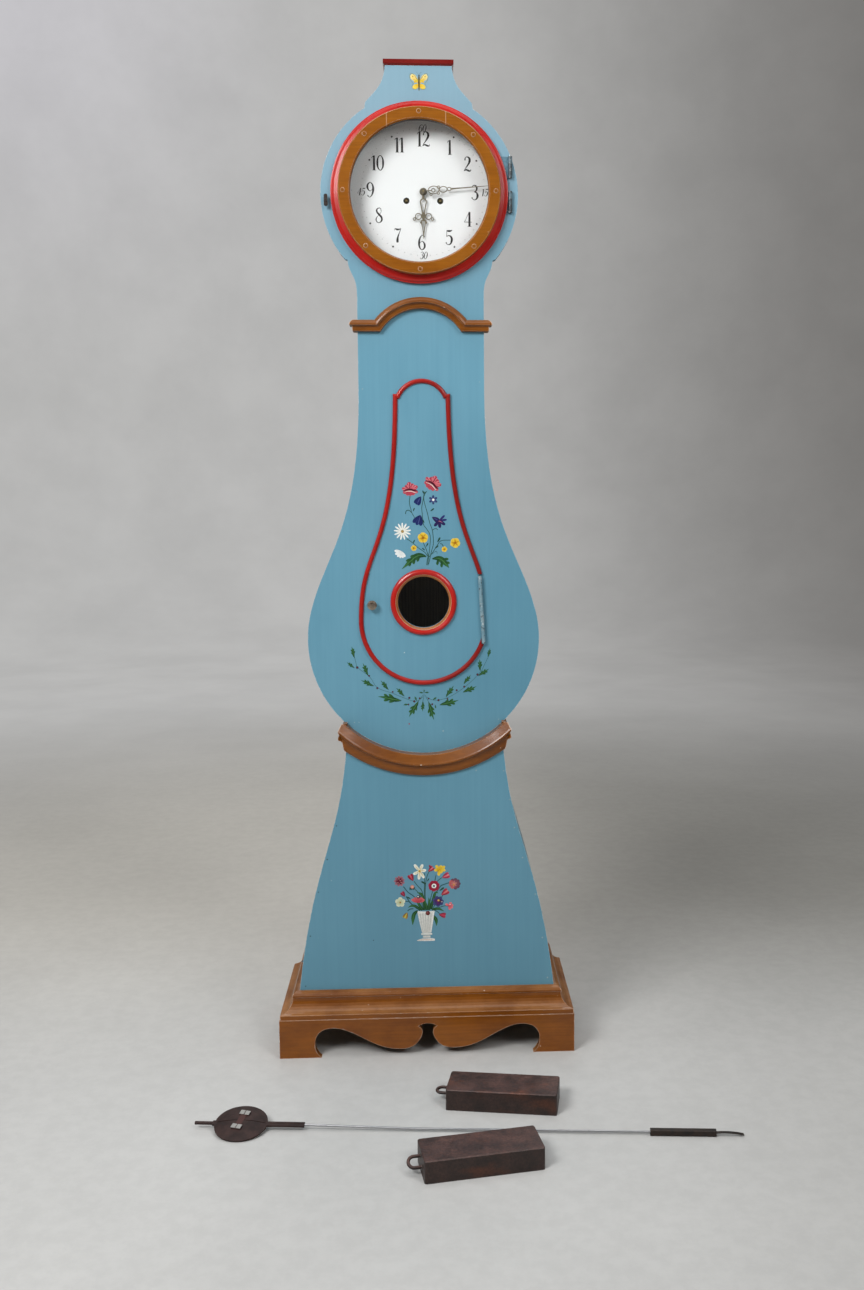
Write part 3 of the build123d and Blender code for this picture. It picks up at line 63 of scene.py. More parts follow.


# ---------------------------------------------------------------- the room
# A pale studio: a floor that curves up into a grey wall all round, far enough off to stay soft.
# It is turned as one bowl about the clock, so that its shape is the same from every side.

# Every finish is a tree of nodes on one material. A wire is the end of one node, arithmetic on
# wires adds Math nodes, and node() adds any other kind. A number given as a colour is a grey.
class Wire:
    def __init__(self, tree, socket):
        self.tree, self.socket = tree, socket

    def node(self, kind, settings, *values, out=0, **named):
        made = self.tree.nodes.new("ShaderNode" + kind)
        for key, value in settings.items():
            setattr(made, key, value)
        free = [socket for socket in made.inputs if socket.enabled]
        by_name = {socket.name.replace(" ", "_"): socket for socket in reversed(free)}
        pairs = [*zip(free, values), *((by_name[name], value) for name, value in named.items())]
        for socket, value in pairs:
            if isinstance(value, Wire):
                self.tree.links.new(value.socket, socket)
            elif socket.type == "RGBA":
                shade = value if isinstance(value, tuple) else (value, value, value)
                socket.default_value = (*shade, 1)
            else:
                socket.default_value = value
        ends = [socket for socket in made.outputs if socket.enabled]
        end = next((socket for i, socket in enumerate(ends) if out in (i, socket.name)), None)
        return Wire(self.tree, end)

    def maths(self, operation, *values):
        return self.node("Math", {"operation": operation}, *values)

    def __add__(self, other):
        return self.maths("ADD", self, other)

    def __sub__(self, other):
        return self.maths("SUBTRACT", self, other)

    def __rsub__(self, other):
        return self.maths("SUBTRACT", other, self)

    def __mul__(self, other):
        return self.maths("MULTIPLY", self, other)

    __radd__ = __add__
    __rmul__ = __mul__

    def rise(self, low, high):
        """0 below low and 1 above high, and the other way round where low is the larger."""
        return self.node("MapRange", {"interpolation_type": "SMOOTHSTEP"}, self, low, high, 0, 1)

    def between(self, one, other):
        """The first colour where this wire is 0, and the second where it is 1."""
        return self.node("Mix", {"data_type": "RGBA"}, self, one, other)

    def times(self, shade, share=1):
        """This colour multiplied by another."""
        return self.node("Mix", {"data_type": "RGBA", "blend_type": "MULTIPLY"}, share, self, shade)

    def stretched(self, x, y, z):
        return self.node("Mapping", {}, Vector=self, Scale=(x, y, z))

    def cloud(self, scale, detail=3, roughness=0.5):
        return self.node("TexNoise", {}, Vector=self, Scale=scale, Detail=detail, Roughness=roughness)

    def bumped(self, strength, depth):
        """The surface's direction, with this wire as its height."""
        return self.node("Bump", {}, Strength=strength, Distance=depth, Height=self)


def finish(name):
    """A new material, and the wire of a point's place in metres."""
    material = bpy.data.materials.new(name)
    material.use_nodes = True
    material.node_tree.nodes.clear()
    coordinates = material.node_tree.nodes.new("ShaderNodeTexCoord")
    return material, Wire(material.node_tree, coordinates.outputs["Object"])


def split(at):
    """The wires of x, y and z."""
    return [at.node("SeparateXYZ", {}, Vector=at, out=i) for i in range(3)]


def make_room():
    floor_r, cove_r, wall_h = 6.5, 2.4, 7.5
    profile = [(1.5, 0.0), (3.5, 0.0)]
    cove_steps = 12
    for i in range(cove_steps + 1):
        turn = pi / 2 * i / cove_steps
        profile.append((floor_r + cove_r * sin(turn), cove_r * (1 - cos(turn))))
    profile.append((floor_r + cove_r, wall_h))
    mesh = bpy.data.meshes.new("room")
    made = bmesh.new()
    steps = 72
    turns = [2 * pi * i / steps for i in range(steps)]
    rings = [[made.verts.new((radius * cos(turn), radius * sin(turn), high)) for turn in turns]
             for radius, high in profile]
    centre = made.verts.new((0, 0, 0))
    for i in range(steps):
        made.faces.new((centre, rings[0][i], rings[0][(i + 1) % steps]))
    for inner, outer in zip(rings, rings[1:]):
        for i in range(steps):
            j = (i + 1) % steps
            made.faces.new((inner[i], outer[i], outer[j], inner[j]))
    for face in made.faces:
        face.smooth = True
    made.to_mesh(mesh)
    room = bpy.data.objects.new("room", mesh)
    scene.collection.objects.link(room)

    material, at = finish("studio grey with painted shade")
    x, y, z = split(at)
    # Painted shade: the floor is darker towards the right and towards the back, most at the back right.
    front = x.rise(0.0, 1.2).between((0.56, 0.555, 0.54), (0.45, 0.445, 0.43))
    back = x.rise(-0.5, 1.0).between((0.51, 0.49, 0.45), (0.27, 0.262, 0.242))
    floor = y.rise(-0.6, 0.9).between(front, back)
    marks = at.cloud(1.3, 5, 0.6).rise(0.2, 0.8).between(0.93, 1.05)
    fine = at.cloud(26, 6, 0.7).rise(0.35, 0.65).between(0.965, 1.03)
    floor = floor.times(marks).times(fine)
    # The wall glows for the camera and for rays through glass, instead of being lit by the lamps. Its glow is
    # painted light: darker to the right and lighter high on the left.
    wall = x.rise(-0.6, 4.1).between((0.478, 0.476, 0.47), (0.2, 0.194, 0.187))
    wall = (x.rise(-0.5, -4.0) * z.rise(2.0, 6.0)).between(wall, (0.58, 0.57, 0.6))
    kinds = ("Is Camera Ray", "Is Glossy Ray", "Is Transmission Ray")
    straight, mirrored, through = (at.node("LightPath", {}, out=kind) for kind in kinds)
    wall = wall.times(marks).times(mirrored.between(1, 0.3))
    lit = at.node("BsdfPrincipled", {}, Base_Color=floor, Roughness=0.62, Specular_IOR_Level=0.25)
    seen = at.node("BsdfPrincipled", {}, Base_Color=0, Specular_IOR_Level=0.0,
                   Emission_Color=wall, Emission_Strength=1.0)
    looked_at = at.maths("MAXIMUM", straight, through)
    radius = at.node("VectorMath", {"operation": "LENGTH"}, at, out="Value")
    both = at.node("MixShader", {}, looked_at * radius.rise(1.6, 5.0), lit, seen)
    at.node("OutputMaterial", {}, Surface=both)
    mesh.materials.append(material)


make_room()


def soft_light(name, place, target, width, height, watts):
    lamp = bpy.data.lights.new(name, "AREA")
    lamp.shape = "RECTANGLE"
    lamp.size, lamp.size_y = width, height
    lamp.energy = watts
    holder = bpy.data.objects.new(name, lamp)
    holder.location = place
    holder.rotation_euler = (Vector(target) - Vector(place)).to_track_quat("-Z", "Y").to_euler()
    scene.collection.objects.link(holder)


soft_light("key light", (-2.1, -3.0, 3.4), (0, -0.2, 2.2), 1.5, 1.5, 132)
soft_light("right light", (2.3, -3.2, 3.3), (0, -0.2, 2.2), 1.5, 1.5, 55)
soft_light("top light", (0.0, 0.0, 4.4), (0, -0.4, 0), 3.5, 3.5, 60)
soft_light("back light", (0.0, 3.6, 3.0), (0, 0, 1.0), 2.5, 2.0, 30)
world = bpy.data.worlds.new("studio")
scene.world = world
world.use_nodes = True
world.node_tree.nodes["Background"].inputs["Color"].default_value = (0.96, 0.98, 1.0, 1)
world.node_tree.nodes["Background"].inputs["Strength"].default_value = 0.35


# ---------------------------------------------------------------- the blue case
# Pine boards glued and nailed together, primed white and painted with two coats of blue-grey oil
# paint, brushed along the length of the boards. The edges are worn and the nails show as specks.
def surface(at, shade, rough, relief=None, **sockets):
    """Closes a finish with its colour, its roughness and its relief."""
    if relief:
        sockets["Normal"] = relief
    closed = at.node("BsdfPrincipled", {}, Base_Color=shade, Roughness=rough, **sockets)
    at.node("OutputMaterial", {}, Surface=closed)


def edge_wear(at, reach, low, high):
    """0 on the flat and 1 at an edge, by how far the surface turns within reach of a point."""
    rounded = at.node("Bevel", {"samples": 6}, Radius=reach)
    plain = at.node("NewGeometry", {}, out="Normal")
    turn = at.node("VectorMath", {"operation": "DOT_PRODUCT"}, rounded, plain, out="Value")
    return (1 - turn).rise(low, high)


def from_axis(at, x, z):
    """How far a point is from a line through x and z that runs from front to back."""
    flat = at.stretched(1, 0, 1)
    return flat.node("VectorMath", {"operation": "DISTANCE"}, flat, (x, 0, z), out="Value")


def layered(shade, *layers):
    """A colour under others, each of which shows where its wire is 1."""
    for wire, over in layers:
        shade = wire.between(shade, over)
    return shade


def coat(material, *names):
    for name in names:
        cad[name].data.materials.clear()
        cad[name].data.materials.append(material)


dial_x, dial_z, dial_opening_r = 0.008, 1.911, 0.16


def blue_oil_paint():
    material, at = finish("blue oil paint")
    x, y, z = split(at)
    streaks = at.stretched(150, 150, 3).cloud(1.0, 5, 0.65)
    fine = at.stretched(620, 620, 9).cloud(1.0, 2, 0.5)
    clouds = at.stretched(4, 4, 2.2).cloud(1.0, 4, 0.6)
    shade = clouds.rise(0.25, 0.75).between((0.118, 0.3, 0.405), (0.136, 0.33, 0.44))
    shade = shade.times(streaks.rise(0.3, 0.7).between((0.965, 0.97, 0.975), (1.025, 1.02, 1.015)))
    # Painted shade: the blue is darker towards the floor, and on the right half of the waist.
    painted_shade_low = z.rise(1.2, 0.1)
    shade = painted_shade_low.between(shade, shade.times((0.84, 0.83, 0.83)))
    painted_shade_right = x.rise(0.0, 0.16) * z.rise(0.72, 0.86) * z.rise(1.5, 1.3)
    shade = painted_shade_right.between(shade, shade.times((0.86, 0.9, 0.91)))
    # Painted sheen: the upper case and the hood are mixed towards a pale grey-blue, most at the top.
    painted_sheen_top = z.rise(1.5, 2.1) * 0.3
    shade = painted_sheen_top.between(shade, (0.42, 0.48, 0.53))
    edge = edge_wear(at, 0.0025, 0.02, 0.24)
    ragged = at.cloud(55, 5, 0.75)
    lower = z.rise(1.0, 0.72)
    chipped = (edge * (ragged + lower * 0.09)).rise(0.565, 0.6)
    specks = at.cloud(150, 1, 0.4).rise(0.825, 0.85)
    # Painted shade: the wall of the dial's opening in the board is near black.
    painted_shade_opening = from_axis(at, dial_x, dial_z).rise(dial_opening_r + 0.0006, dial_opening_r + 0.0002)
    shade = layered(shade, (edge * 0.35, (0.42, 0.58, 0.64)), (chipped, (0.72, 0.7, 0.64)),
                    (specks, (0.55, 0.63, 0.64)), (painted_shade_opening, (0.015, 0.014, 0.013)))
    rough = at.node("MapRange", {}, streaks, 0.25, 0.75, 0.36, 0.5)
    height = streaks * 0.4 + fine * 0.3 - chipped * 0.8
    surface(at, shade, rough, height.bumped(0.55, 0.00016), Specular_IOR_Level=0.4)
    return material


blue = blue_oil_paint()
coat(blue, "front_board", "case_sides", "top_board", "base_front_panel", "base_sides", "case_door_panel")


# ---------------------------------------------------------------- the bare wood
# The back board, floor, glue blocks and the seat and cheeks for the movement are planed pine,
# never painted and browned with age. The grain runs up the boards.
def bare_pine():
    material, at = finish("bare pine")
    wander = at.node("TexNoise", {}, Vector=at.stretched(3, 3, 0.8), Scale=1.0, Detail=2.0, out="Color")
    grain = at.node("VectorMath", {"operation": "MULTIPLY_ADD"}, wander, (0.03, 0.03, 0.2), at)
    rings = grain.node("TexWave", {"wave_type": "RINGS", "rings_direction": "Z"}, Scale=46.0,
                       Distortion=5.0, Detail=3.0, Vector=grain.stretched(1, 1.6, 0.06), out="Fac")
    pores = at.stretched(420, 420, 14).cloud(1.0, 3, 0.6)
    shade = rings.between((0.44, 0.28, 0.145), (0.34, 0.2, 0.095))
    shade = shade.times(pores.rise(0.35, 0.7).between((1.08, 1.06, 1.03), (0.72, 0.68, 0.62)))
    dust_and_top_light = at.stretched(5, 5, 3).cloud(1.0, 4, 0.6).rise(0.4, 0.75)
    shade = (dust_and_top_light * 0.45).between(shade, (0.25, 0.2, 0.15))
    x, y, z = split(at)
    # Painted shade: the inside of the case, in front of the back board and above the floor, is darkened.
    board_front, floor_top = -0.012, 0.088
    unlit = y.rise(board_front + 0.0001, board_front - 0.0001) * z.rise(floor_top - 0.001, floor_top + 0.001)
    shade = shade.times(unlit.between(1, (0.22, 0.2, 0.18)))
    height = rings * 0.15 + pores
    surface(at, shade, 0.78, height.bumped(0.5, 0.0004), Specular_IOR_Level=0.25)
    return material


coat(bare_pine(), "back_board", "base_floor", "glue_blocks", "seat_cheeks", "seat_board")


# ---------------------------------------------------------------- the brown mouldings
# The waist moulding, the crescent under the belly, the plinth and the bracket feet are planed and
# sawn pine in glossy brown oil paint. Their edges are rubbed pale and the paint is chipped. A
# lighter brown lines the window in the door.
def facing_up(at):
    """1 where a surface looks up, and 0 where it is upright or looks down."""
    return split(at.node("NewGeometry", {}, out="Normal"))[2].rise(0.25, 0.9)


def brown_oil_paint(name, light, dark, gloss, marked=None):
    material, at = finish(name)
    x, y, z = split(at)
    clouds = at.stretched(9, 9, 14).cloud(1.0, 5, 0.65)
    brush = at.stretched(9, 160, 260).cloud(1.0, 4, 0.6)
    shade = clouds.rise(0.28, 0.72).between(dark, light)
    shade = shade.times(brush.rise(0.3, 0.7).between((0.88, 0.87, 0.85), 1.08))
    if marked:
        shade = marked(at, shade)
    lower = z.rise(0.3, 0.02)
    # Surfaces that face up are painted lighter, most low down: partly dust, and partly painted light from
    # above.
    dust_and_top_light = facing_up(at) * clouds.rise(0.2, 0.7) * (lower * 0.25 + 0.1)
    edge = edge_wear(at, 0.0024, 0.02, 0.16)
    ragged = at.cloud(90, 5, 0.7)
    rubbed = (edge * (ragged + 0.3)).rise(0.45, 0.62)
    chipped = (edge * (ragged + lower * 0.06)).rise(0.62, 0.65)
    specks = at.cloud(120, 1, 0.4).rise(0.79, 0.81)
    shade = layered(shade, (dust_and_top_light, (0.58, 0.31, 0.13)), (rubbed * 0.8, (0.66, 0.46, 0.33)),
                    (chipped, (0.72, 0.66, 0.58)), (specks, (0.66, 0.55, 0.45)))
    rough = at.node("MapRange", {}, clouds, 0.2, 0.8, gloss - 0.07, gloss + 0.1)
    height = brush * 0.5 + clouds * 0.4 - chipped
    surface(at, shade, rough, height.bumped(0.6, 0.0002), Specular_IOR_Level=0.22,
            Coat_Weight=(1 - rubbed) * 0.4, Coat_Roughness=0.12)
    return material


brown = brown_oil_paint("brown oil paint", (0.24, 0.072, 0.003), (0.15, 0.04, 0.001), 0.34)
coat(brown, "waist_cornice", "crescent_moulding", "plinth_moulding", "front_bracket", "side_brackets")
liner_brown = brown_oil_paint("window liner paint", (0.46, 0.17, 0.045), (0.32, 0.1, 0.02), 0.34)
coat(liner_brown, "window_liner")


# ---------------------------------------------------------------- the red trim
# The cap, the round rim of the hood door, the bead round the case door and the window's rim are
# painted bright red with a hard gloss.
def red_oil_paint(name, light, dark, right=1.0):
    """Paint whose right side keeps only the given share of its brightness, as painted shade."""
    material, at = finish(name)
    clouds = at.cloud(14, 4, 0.6)
    fine = at.cloud(260, 2, 0.5)
    shade = clouds.rise(0.3, 0.72).between(dark, light)
    edge = edge_wear(at, 0.0018, 0.05, 0.35)
    ragged = at.cloud(120, 5, 0.72)
    worn = (edge * (ragged + 0.02)).rise(0.56, 0.62)
    shade = (worn * 0.8).between(shade, (0.2, 0.05, 0.04))
    x, y, z = split(at)
    # Painted shade: the paint above 2.15 m, on the cap, is darkened to a third.
    painted_shade_cap = z.rise(2.15, 2.16)
    shade = shade.times(painted_shade_cap.between(1, 0.34))
    # Painted shade on the right side.
    shade = x.rise(-0.02, 0.09).between(shade, shade.times(right))
    rough = at.node("MapRange", {}, clouds, 0.2, 0.8, 0.24, 0.36)
    height = fine * 0.4 + clouds
    surface(at, shade, rough, height.bumped(0.35, 0.00015), Specular_IOR_Level=0.3,
            Coat_Weight=(1 - worn) * 0.22, Coat_Roughness=0.12)
    return material


red = red_oil_paint("red oil paint", (0.52, 0.012, 0.005), (0.4, 0.006, 0.003))
coat(red, "cap_moulding", "hood_door_rim", "window_rim")
# The bead's paint is a darker red, with painted shade on its right side.
shaded_bead_red = red_oil_paint("bead red oil paint with painted shade", (0.42, 0.012, 0.006), (0.32, 0.006, 0.004), 0.66)
coat(shaded_bead_red, "case_door_bead")


# ---------------------------------------------------------------- the dial
# A round plate of sheet iron, painted white by hand. Its middle is clean, and a painted shadow of
# the door's ring greys it towards the rim, most at the upper left.
dial_face = -0.2416


def dial_paint():
    material, at = finish("white dial paint")
    x, y, z = split(at)
    from_middle = from_axis(at, dial_x, dial_z)
    clouds = at.cloud(16, 5, 0.6)
    slant = (z - dial_z) - (x - dial_x)
    # Painted shadow of the door's ring: grey towards the rim, most at the upper left.
    painted_rim_shadow = (from_middle + slant * 0.08 + clouds * 0.03).rise(0.122, 0.185)
    shade = painted_rim_shadow.between((0.905, 0.91, 0.92), 0.7)
    cracks = at.node("TexVoronoi", {"feature": "DISTANCE_TO_EDGE"}, Vector=at, Scale=75.0)
    lines = cracks.rise(0.035, 0.0) * clouds.rise(0.5, 0.7) * from_middle.rise(0.05, 0.16)
    fine = at.cloud(420, 2, 0.5)
    specks = at.cloud(230, 1, 0.4).rise(0.76, 0.8) * from_middle.rise(0.08, 0.15)
    shade = layered(shade, (lines * 0.35, (0.3, 0.29, 0.27)), (specks * 0.6, (0.2, 0.18, 0.16)))
    surface(at, shade, painted_rim_shadow * 0.2 + 0.4, (fine * 0.5 + clouds).bumped(0.3, 0.0001))
    return material


coat(dial_paint(), "dial")


# Hand painting on the clock is laid on in strokes of a brush. Each stroke is a thin solid along a
# smooth line, as wide as the brush was pressed, and its colour may change from root to tip.
def painters_colour():
    material, at = finish("artist's oil colour")
    tint = at.node("Attribute", {"attribute_name": "tint"}, out="Color")
    drag = at.stretched(900, 900, 300).cloud(1.0, 3, 0.6)
    shade = tint.times(drag.rise(0.25, 0.75).between(0.82, 1.12))
    surface(at, shade, 0.5, drag.bumped(0.4, 0.00012), Specular_IOR_Level=0.2)
    return material


oil_colour = painters_colour()


def smooth_line(points, closed, steps):
    """Points along a curve through the given ones, each of them any number of values."""
    before, after = (points[-1:], points[:2]) if closed else (points[:1], points[-1:])
    all_points = [*before, *points, *after]
    line = []
    for around in zip(all_points, all_points[1:], all_points[2:], all_points[3:]):
        for step in range(steps):
            t = step / steps
            weights = (-0.5 * t + t * t - 0.5 * t**3, 1 - 2.5 * t * t + 1.5 * t**3,
                       0.5 * t + 2 * t * t - 1.5 * t**3, -0.5 * t * t + 0.5 * t**3)
            line.append([sum(w * p[k] for w, p in zip(weights, around)) for k in range(len(points[0]))])
    if not closed:
        line.append(list(points[-1]))
    return line


class Painting:
    """Strokes on one upright face of the clock. Sizes are in millimetres from its own middle."""

    # In metres: how far the first touch stands out, what a layer and each further touch add, how far
    # a dot swells in its middle, and how deep every touch is let in.
    lift, layer_lift, touch_lift, swell, foot = 0.00010, 0.00004, 0.0000004, 0.00003, -0.00003

    def __init__(self, name, x, front, z):
        self.name, self.x, self.front, self.z = name, x, front, z
        self.made = bmesh.new()
        self.tint = self.made.verts.layers.float_color.new("tint")
        self.laid = 0

    def touch(self, layer):
        self.laid += 1
        return self.lift + self.layer_lift * layer + self.touch_lift * self.laid

    def vertex(self, x, z, depth, shade):
        corner = self.made.verts.new((self.x + x / 1000, self.front - depth, self.z + z / 1000))
        corner[self.tint] = (*shade, 1)
        return corner

    def stroke(self, points, root, tip=None, closed=False, steps=5, layer=0, size=1, at=(0, 0), turn=0):
        """A line through (x, z, width) points, from the root's colour to the tip's."""
        tip = tip or root
        line = smooth_line(points, closed, steps)
        c, s = cos(radians(turn)) * size, sin(radians(turn)) * size
        line = [(at[0] + x * c - z * s, at[1] + x * s + z * c, abs(w) * size) for x, z, w in line]
        high = self.touch(layer)
        count = len(line)
        befores = [line[-1 if closed else 0], *line]
        afters = [*line[1:], line[0 if closed else -1]]
        rows = []
        for i, (before, (x, z, w), after) in enumerate(zip(befores, line, afters)):
            dx, dz = after[0] - before[0], after[1] - before[1]
            long = hypot(dx, dz) or 1
            nx, nz = -dz / long * w / 2, dx / long * w / 2
            t = i / max(count - 1, 1)
            shade = [a + (b - a) * t for a, b in zip(root, tip)]
            rows.append([self.vertex(x + nx * side, z + nz * side, depth, shade)
                         for side, depth in ((1, high), (-1, high), (-1, self.foot), (1, self.foot))])
        faces = self.made.faces.new
        for i in range(count if closed else count - 1):
            one, other = rows[i], rows[(i + 1) % count]
            for k in range(4):
                faces((one[k], one[(k + 1) % 4], other[(k + 1) % 4], other[k]))
        if not closed:
            faces(rows[0])
            faces(rows[-1][::-1])

    def dot(self, x, z, radius, shade, layer=1, edge=None):
        """A round touch of the brush."""
        high = self.touch(layer)
        count = 14
        turns = [2 * pi * i / count for i in range(count)]
        rim, back = ([self.vertex(x + radius * cos(t), z + radius * sin(t), depth, edge or shade)
                      for t in turns] for depth in (high, self.foot))
        top = self.vertex(x, z, high + self.swell, shade)
        under = self.vertex(x, z, self.foot, shade)
        for i in range(count):
            j = (i + 1) % count
            self.made.faces.new((top, rim[i], rim[j]))
            self.made.faces.new((rim[i], back[i], back[j], rim[j]))
            self.made.faces.new((under, back[j], back[i]))

    def mesh(self):
        bmesh.ops.recalc_face_normals(self.made, faces=self.made.faces)
        mesh = bpy.data.meshes.new(self.name)
        self.made.to_mesh(mesh)
        self.made.free()
        mesh.materials.append(oil_colour)
        return mesh

    def hang(self, body):
        piece = bpy.data.objects.new(self.name, self.mesh())
        scene.collection.objects.link(piece)
        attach(piece, body)


# The numbers are drawn with a fine brush and lamp black, slim and upright. Each digit's strokes are
# (x, height, width) points in a box 50 wide and 100 high, and those of the 0 and the 8 are closed.
ink = (0.022, 0.02, 0.019)
numeral_strokes = {
    "0": [[(25, 100, 5), (9, 82, 9), (5, 50, 14), (9, 18, 9), (25, 0, 5), (41, 18, 9), (45, 50, 14),
           (41, 82, 9)]],
    "1": [[(27, 2, 15), (27, 50, 14), (27, 99, 12)], [(27, 98, 4), (17, 92, 4), (10, 82, 3)],
          [(14, 1, 3), (40, 1, 3)]],
    "2": [[(10, 76, 9), (13, 92, 5), (26, 99, 6), (41, 88, 14), (42, 68, 15), (30, 44, 9), (14, 22, 5),
           (4, 4, 4)], [(4, 3, 3), (18, 12, 9), (34, 6, 12), (48, 4, 7), (51, 16, 2)]],
    "3": [[(8, 84, 9), (14, 96, 5), (28, 99, 6), (40, 84, 12), (37, 64, 9), (22, 55, 4)],
          [(22, 55, 4), (39, 48, 9), (46, 28, 15), (38, 7, 9), (22, 0, 5), (8, 10, 5), (7, 17, 10)]],
    "4": [[(36, 100, 13), (36, 50, 14), (36, 1, 14)], [(34, 99, 3), (14, 58, 3), (0, 31, 3)],
          [(0, 31, 3), (26, 31, 4), (52, 31, 3)], [(22, 1, 3), (50, 1, 3)]],
    "5": [[(11, 99, 3), (22, 94, 13), (38, 95, 11), (49, 100, 2)], [(12, 98, 3), (9, 56, 3)],
          [(9, 56, 3), (24, 63, 6), (40, 55, 11), (46, 34, 15), (38, 9, 9), (22, 0, 5), (8, 9, 5),
           (7, 17, 10)]],
    "6": [[(43, 86, 9), (38, 96, 5), (26, 98, 5), (12, 80, 9), (5, 48, 14), (9, 16, 10), (25, 0, 5),
           (41, 12, 11), (45, 32, 13), (36, 52, 7), (24, 57, 4), (11, 46, 3)]],
    "7": [[(4, 86, 2), (8, 98, 5), (22, 93, 12), (36, 94, 9), (50, 99, 3)],
          [(49, 98, 3), (38, 70, 5), (27, 40, 11), (24, 18, 16), (25, 4, 13)]],
    "8": [[(40, 84, 4), (36, 97, 4), (24, 100, 5), (11, 90, 9), (11, 74, 11), (26, 56, 13), (42, 38, 13),
           (44, 16, 11), (27, 0, 5), (9, 8, 6), (5, 26, 7), (16, 44, 3), (32, 60, 3), (41, 76, 3)]],
    "9": [[(7, 14, 9), (12, 4, 5), (24, 2, 5), (38, 20, 9), (45, 52, 14), (41, 84, 10), (25, 100, 5),
           (9, 88, 11), (5, 68, 13), (14, 48, 7), (26, 43, 4), (39, 54, 3)]],
}
dial_marks = Painting("dial_numerals", dial_x, dial_face, dial_z)


def number(text, x, z, high, lean=0.0):
    """Digits side by side, their middle at x and z and their height as given."""
    pitch = {"1": 34, "0": 56}
    widths = [pitch.get(digit, 55) for digit in text]
    left = -sum(widths) / 2
    for digit, wide in zip(text, widths):
        shift = left + (wide - 50) / 2
        for points in numeral_strokes[digit]:
            moved = [(px + shift + lean * (pz - 50), pz - 50, w) for px, pz, w in points]
            dial_marks.stroke(moved, ink, closed=digit in "08", size=high / 100, at=(x, z))
        left += wide


def on_dial(radius, hour):
    turn = radians(90 - 30 * hour)
    return radius * cos(turn), radius * sin(turn)


# The hours were placed by eye: strays say how far, in millimetres, each of them is off its place.
hour_r, hour_high = 111, 31
strays = ((2, -2), (-1, 4), (0, 0), (0, -1), (-1, 1), (-4, 5), (-1, 4), (0, 6), (-3, 4), (-1, 5),
          (5, 2), (1, 0))
for hour, (dx, dz) in enumerate(strays, 1):
    x, z = on_dial(hour_r, hour)
    number(str(hour), x + dx, z + dz, hour_high)
minute_r, minute_high, five_minutes_r = 133.5, 15, 133
for hour in (3, 6, 9, 12):
    number(str(5 * hour), *on_dial(minute_r, hour), minute_high, lean=0.18)
for hour in (1, 2, 4, 5, 7, 8, 10, 11):
    dial_marks.dot(*on_dial(five_minutes_r, hour), 2.0, ink)
winding_x, winding_z, eyelet_r, eyelet_line = 36.5, -18.5, 6.0, 1.3
for x in (-winding_x, winding_x):
    around = [(x + eyelet_r * cos(pi * k / 6), winding_z + eyelet_r * sin(pi * k / 6), eyelet_line)
              for k in range(12)]
    dial_marks.stroke(around, ink, closed=True)
dial_marks.hang("case")


# A fine ring of dots counts the minutes: one small dot of ink repeated round a circle, laid flat
# on the white between the hours and the rim.
class Nodes:
    """A tree of geometry nodes with named inputs, made in code."""

    def __init__(self, name, **sizes):
        self.tree = bpy.data.node_groups.new(name, "GeometryNodeTree")
        self.tree.interface.new_socket("Geometry", in_out="INPUT", socket_type="NodeSocketGeometry")
        kinds = {float: "NodeSocketFloat", int: "NodeSocketInt", tuple: "NodeSocketVector"}
        self.keys = {}
        for key, value in sizes.items():
            made = self.tree.interface.new_socket(key, in_out="INPUT", socket_type=kinds[type(value)])
            self.keys[key] = (made.identifier, value)
        self.tree.interface.new_socket("Geometry", in_out="OUTPUT", socket_type="NodeSocketGeometry")
        self.start = self.tree.nodes.new("NodeGroupInput")

    def size(self, key):
        return self.start.outputs[key]

    def add(self, kind, settings=(), out=0, **inputs):
        made = self.tree.nodes.new(kind)
        for key, value in dict(settings).items():
            setattr(made, key, value)
        for key, value in inputs.items():
            free = [s for s in made.inputs if s.enabled and s.name == key.replace("_", " ")]
            if isinstance(value, bpy.types.NodeSocket):
                self.tree.links.new(value, free[0])
            else:
                free[0].default_value = value
        ends = [socket for socket in made.outputs if socket.enabled]
        return next(socket for i, socket in enumerate(ends) if out in (i, socket.name))

    def close(self, geometry, material):
        real = self.add("GeometryNodeRealizeInstances", Geometry=geometry)
        dressed = self.add("GeometryNodeSetMaterial", Geometry=real, Material=material)
        end = self.tree.nodes.new("NodeGroupOutput")
        self.tree.links.new(dressed, end.inputs[0])

    def grow(self, name, base, body):
        """The tree's result on a base mesh, as a plain mesh that rides on a body."""
        holder = bpy.data.objects.new(name, base)
        scene.collection.objects.link(holder)
        modifier = holder.modifiers.new("nodes", "NODES")
        modifier.node_group = self.tree
        for identifier, value in self.keys.values():
            modifier[identifier] = value
        bpy.context.view_layer.update()
        depsgraph = bpy.context.evaluated_depsgraph_get()
        mesh = bpy.data.meshes.new_from_object(holder.evaluated_get(depsgraph))
        holder.modifiers.remove(modifier)
        holder.data = mesh
        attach(holder, body)


def ink_paint():
    material, at = finish("black dial ink")
    worn = at.cloud(300, 3, 0.6).rise(0.3, 0.75)
    surface(at, worn.between(ink, (0.12, 0.115, 0.11)), 0.5)
    return material


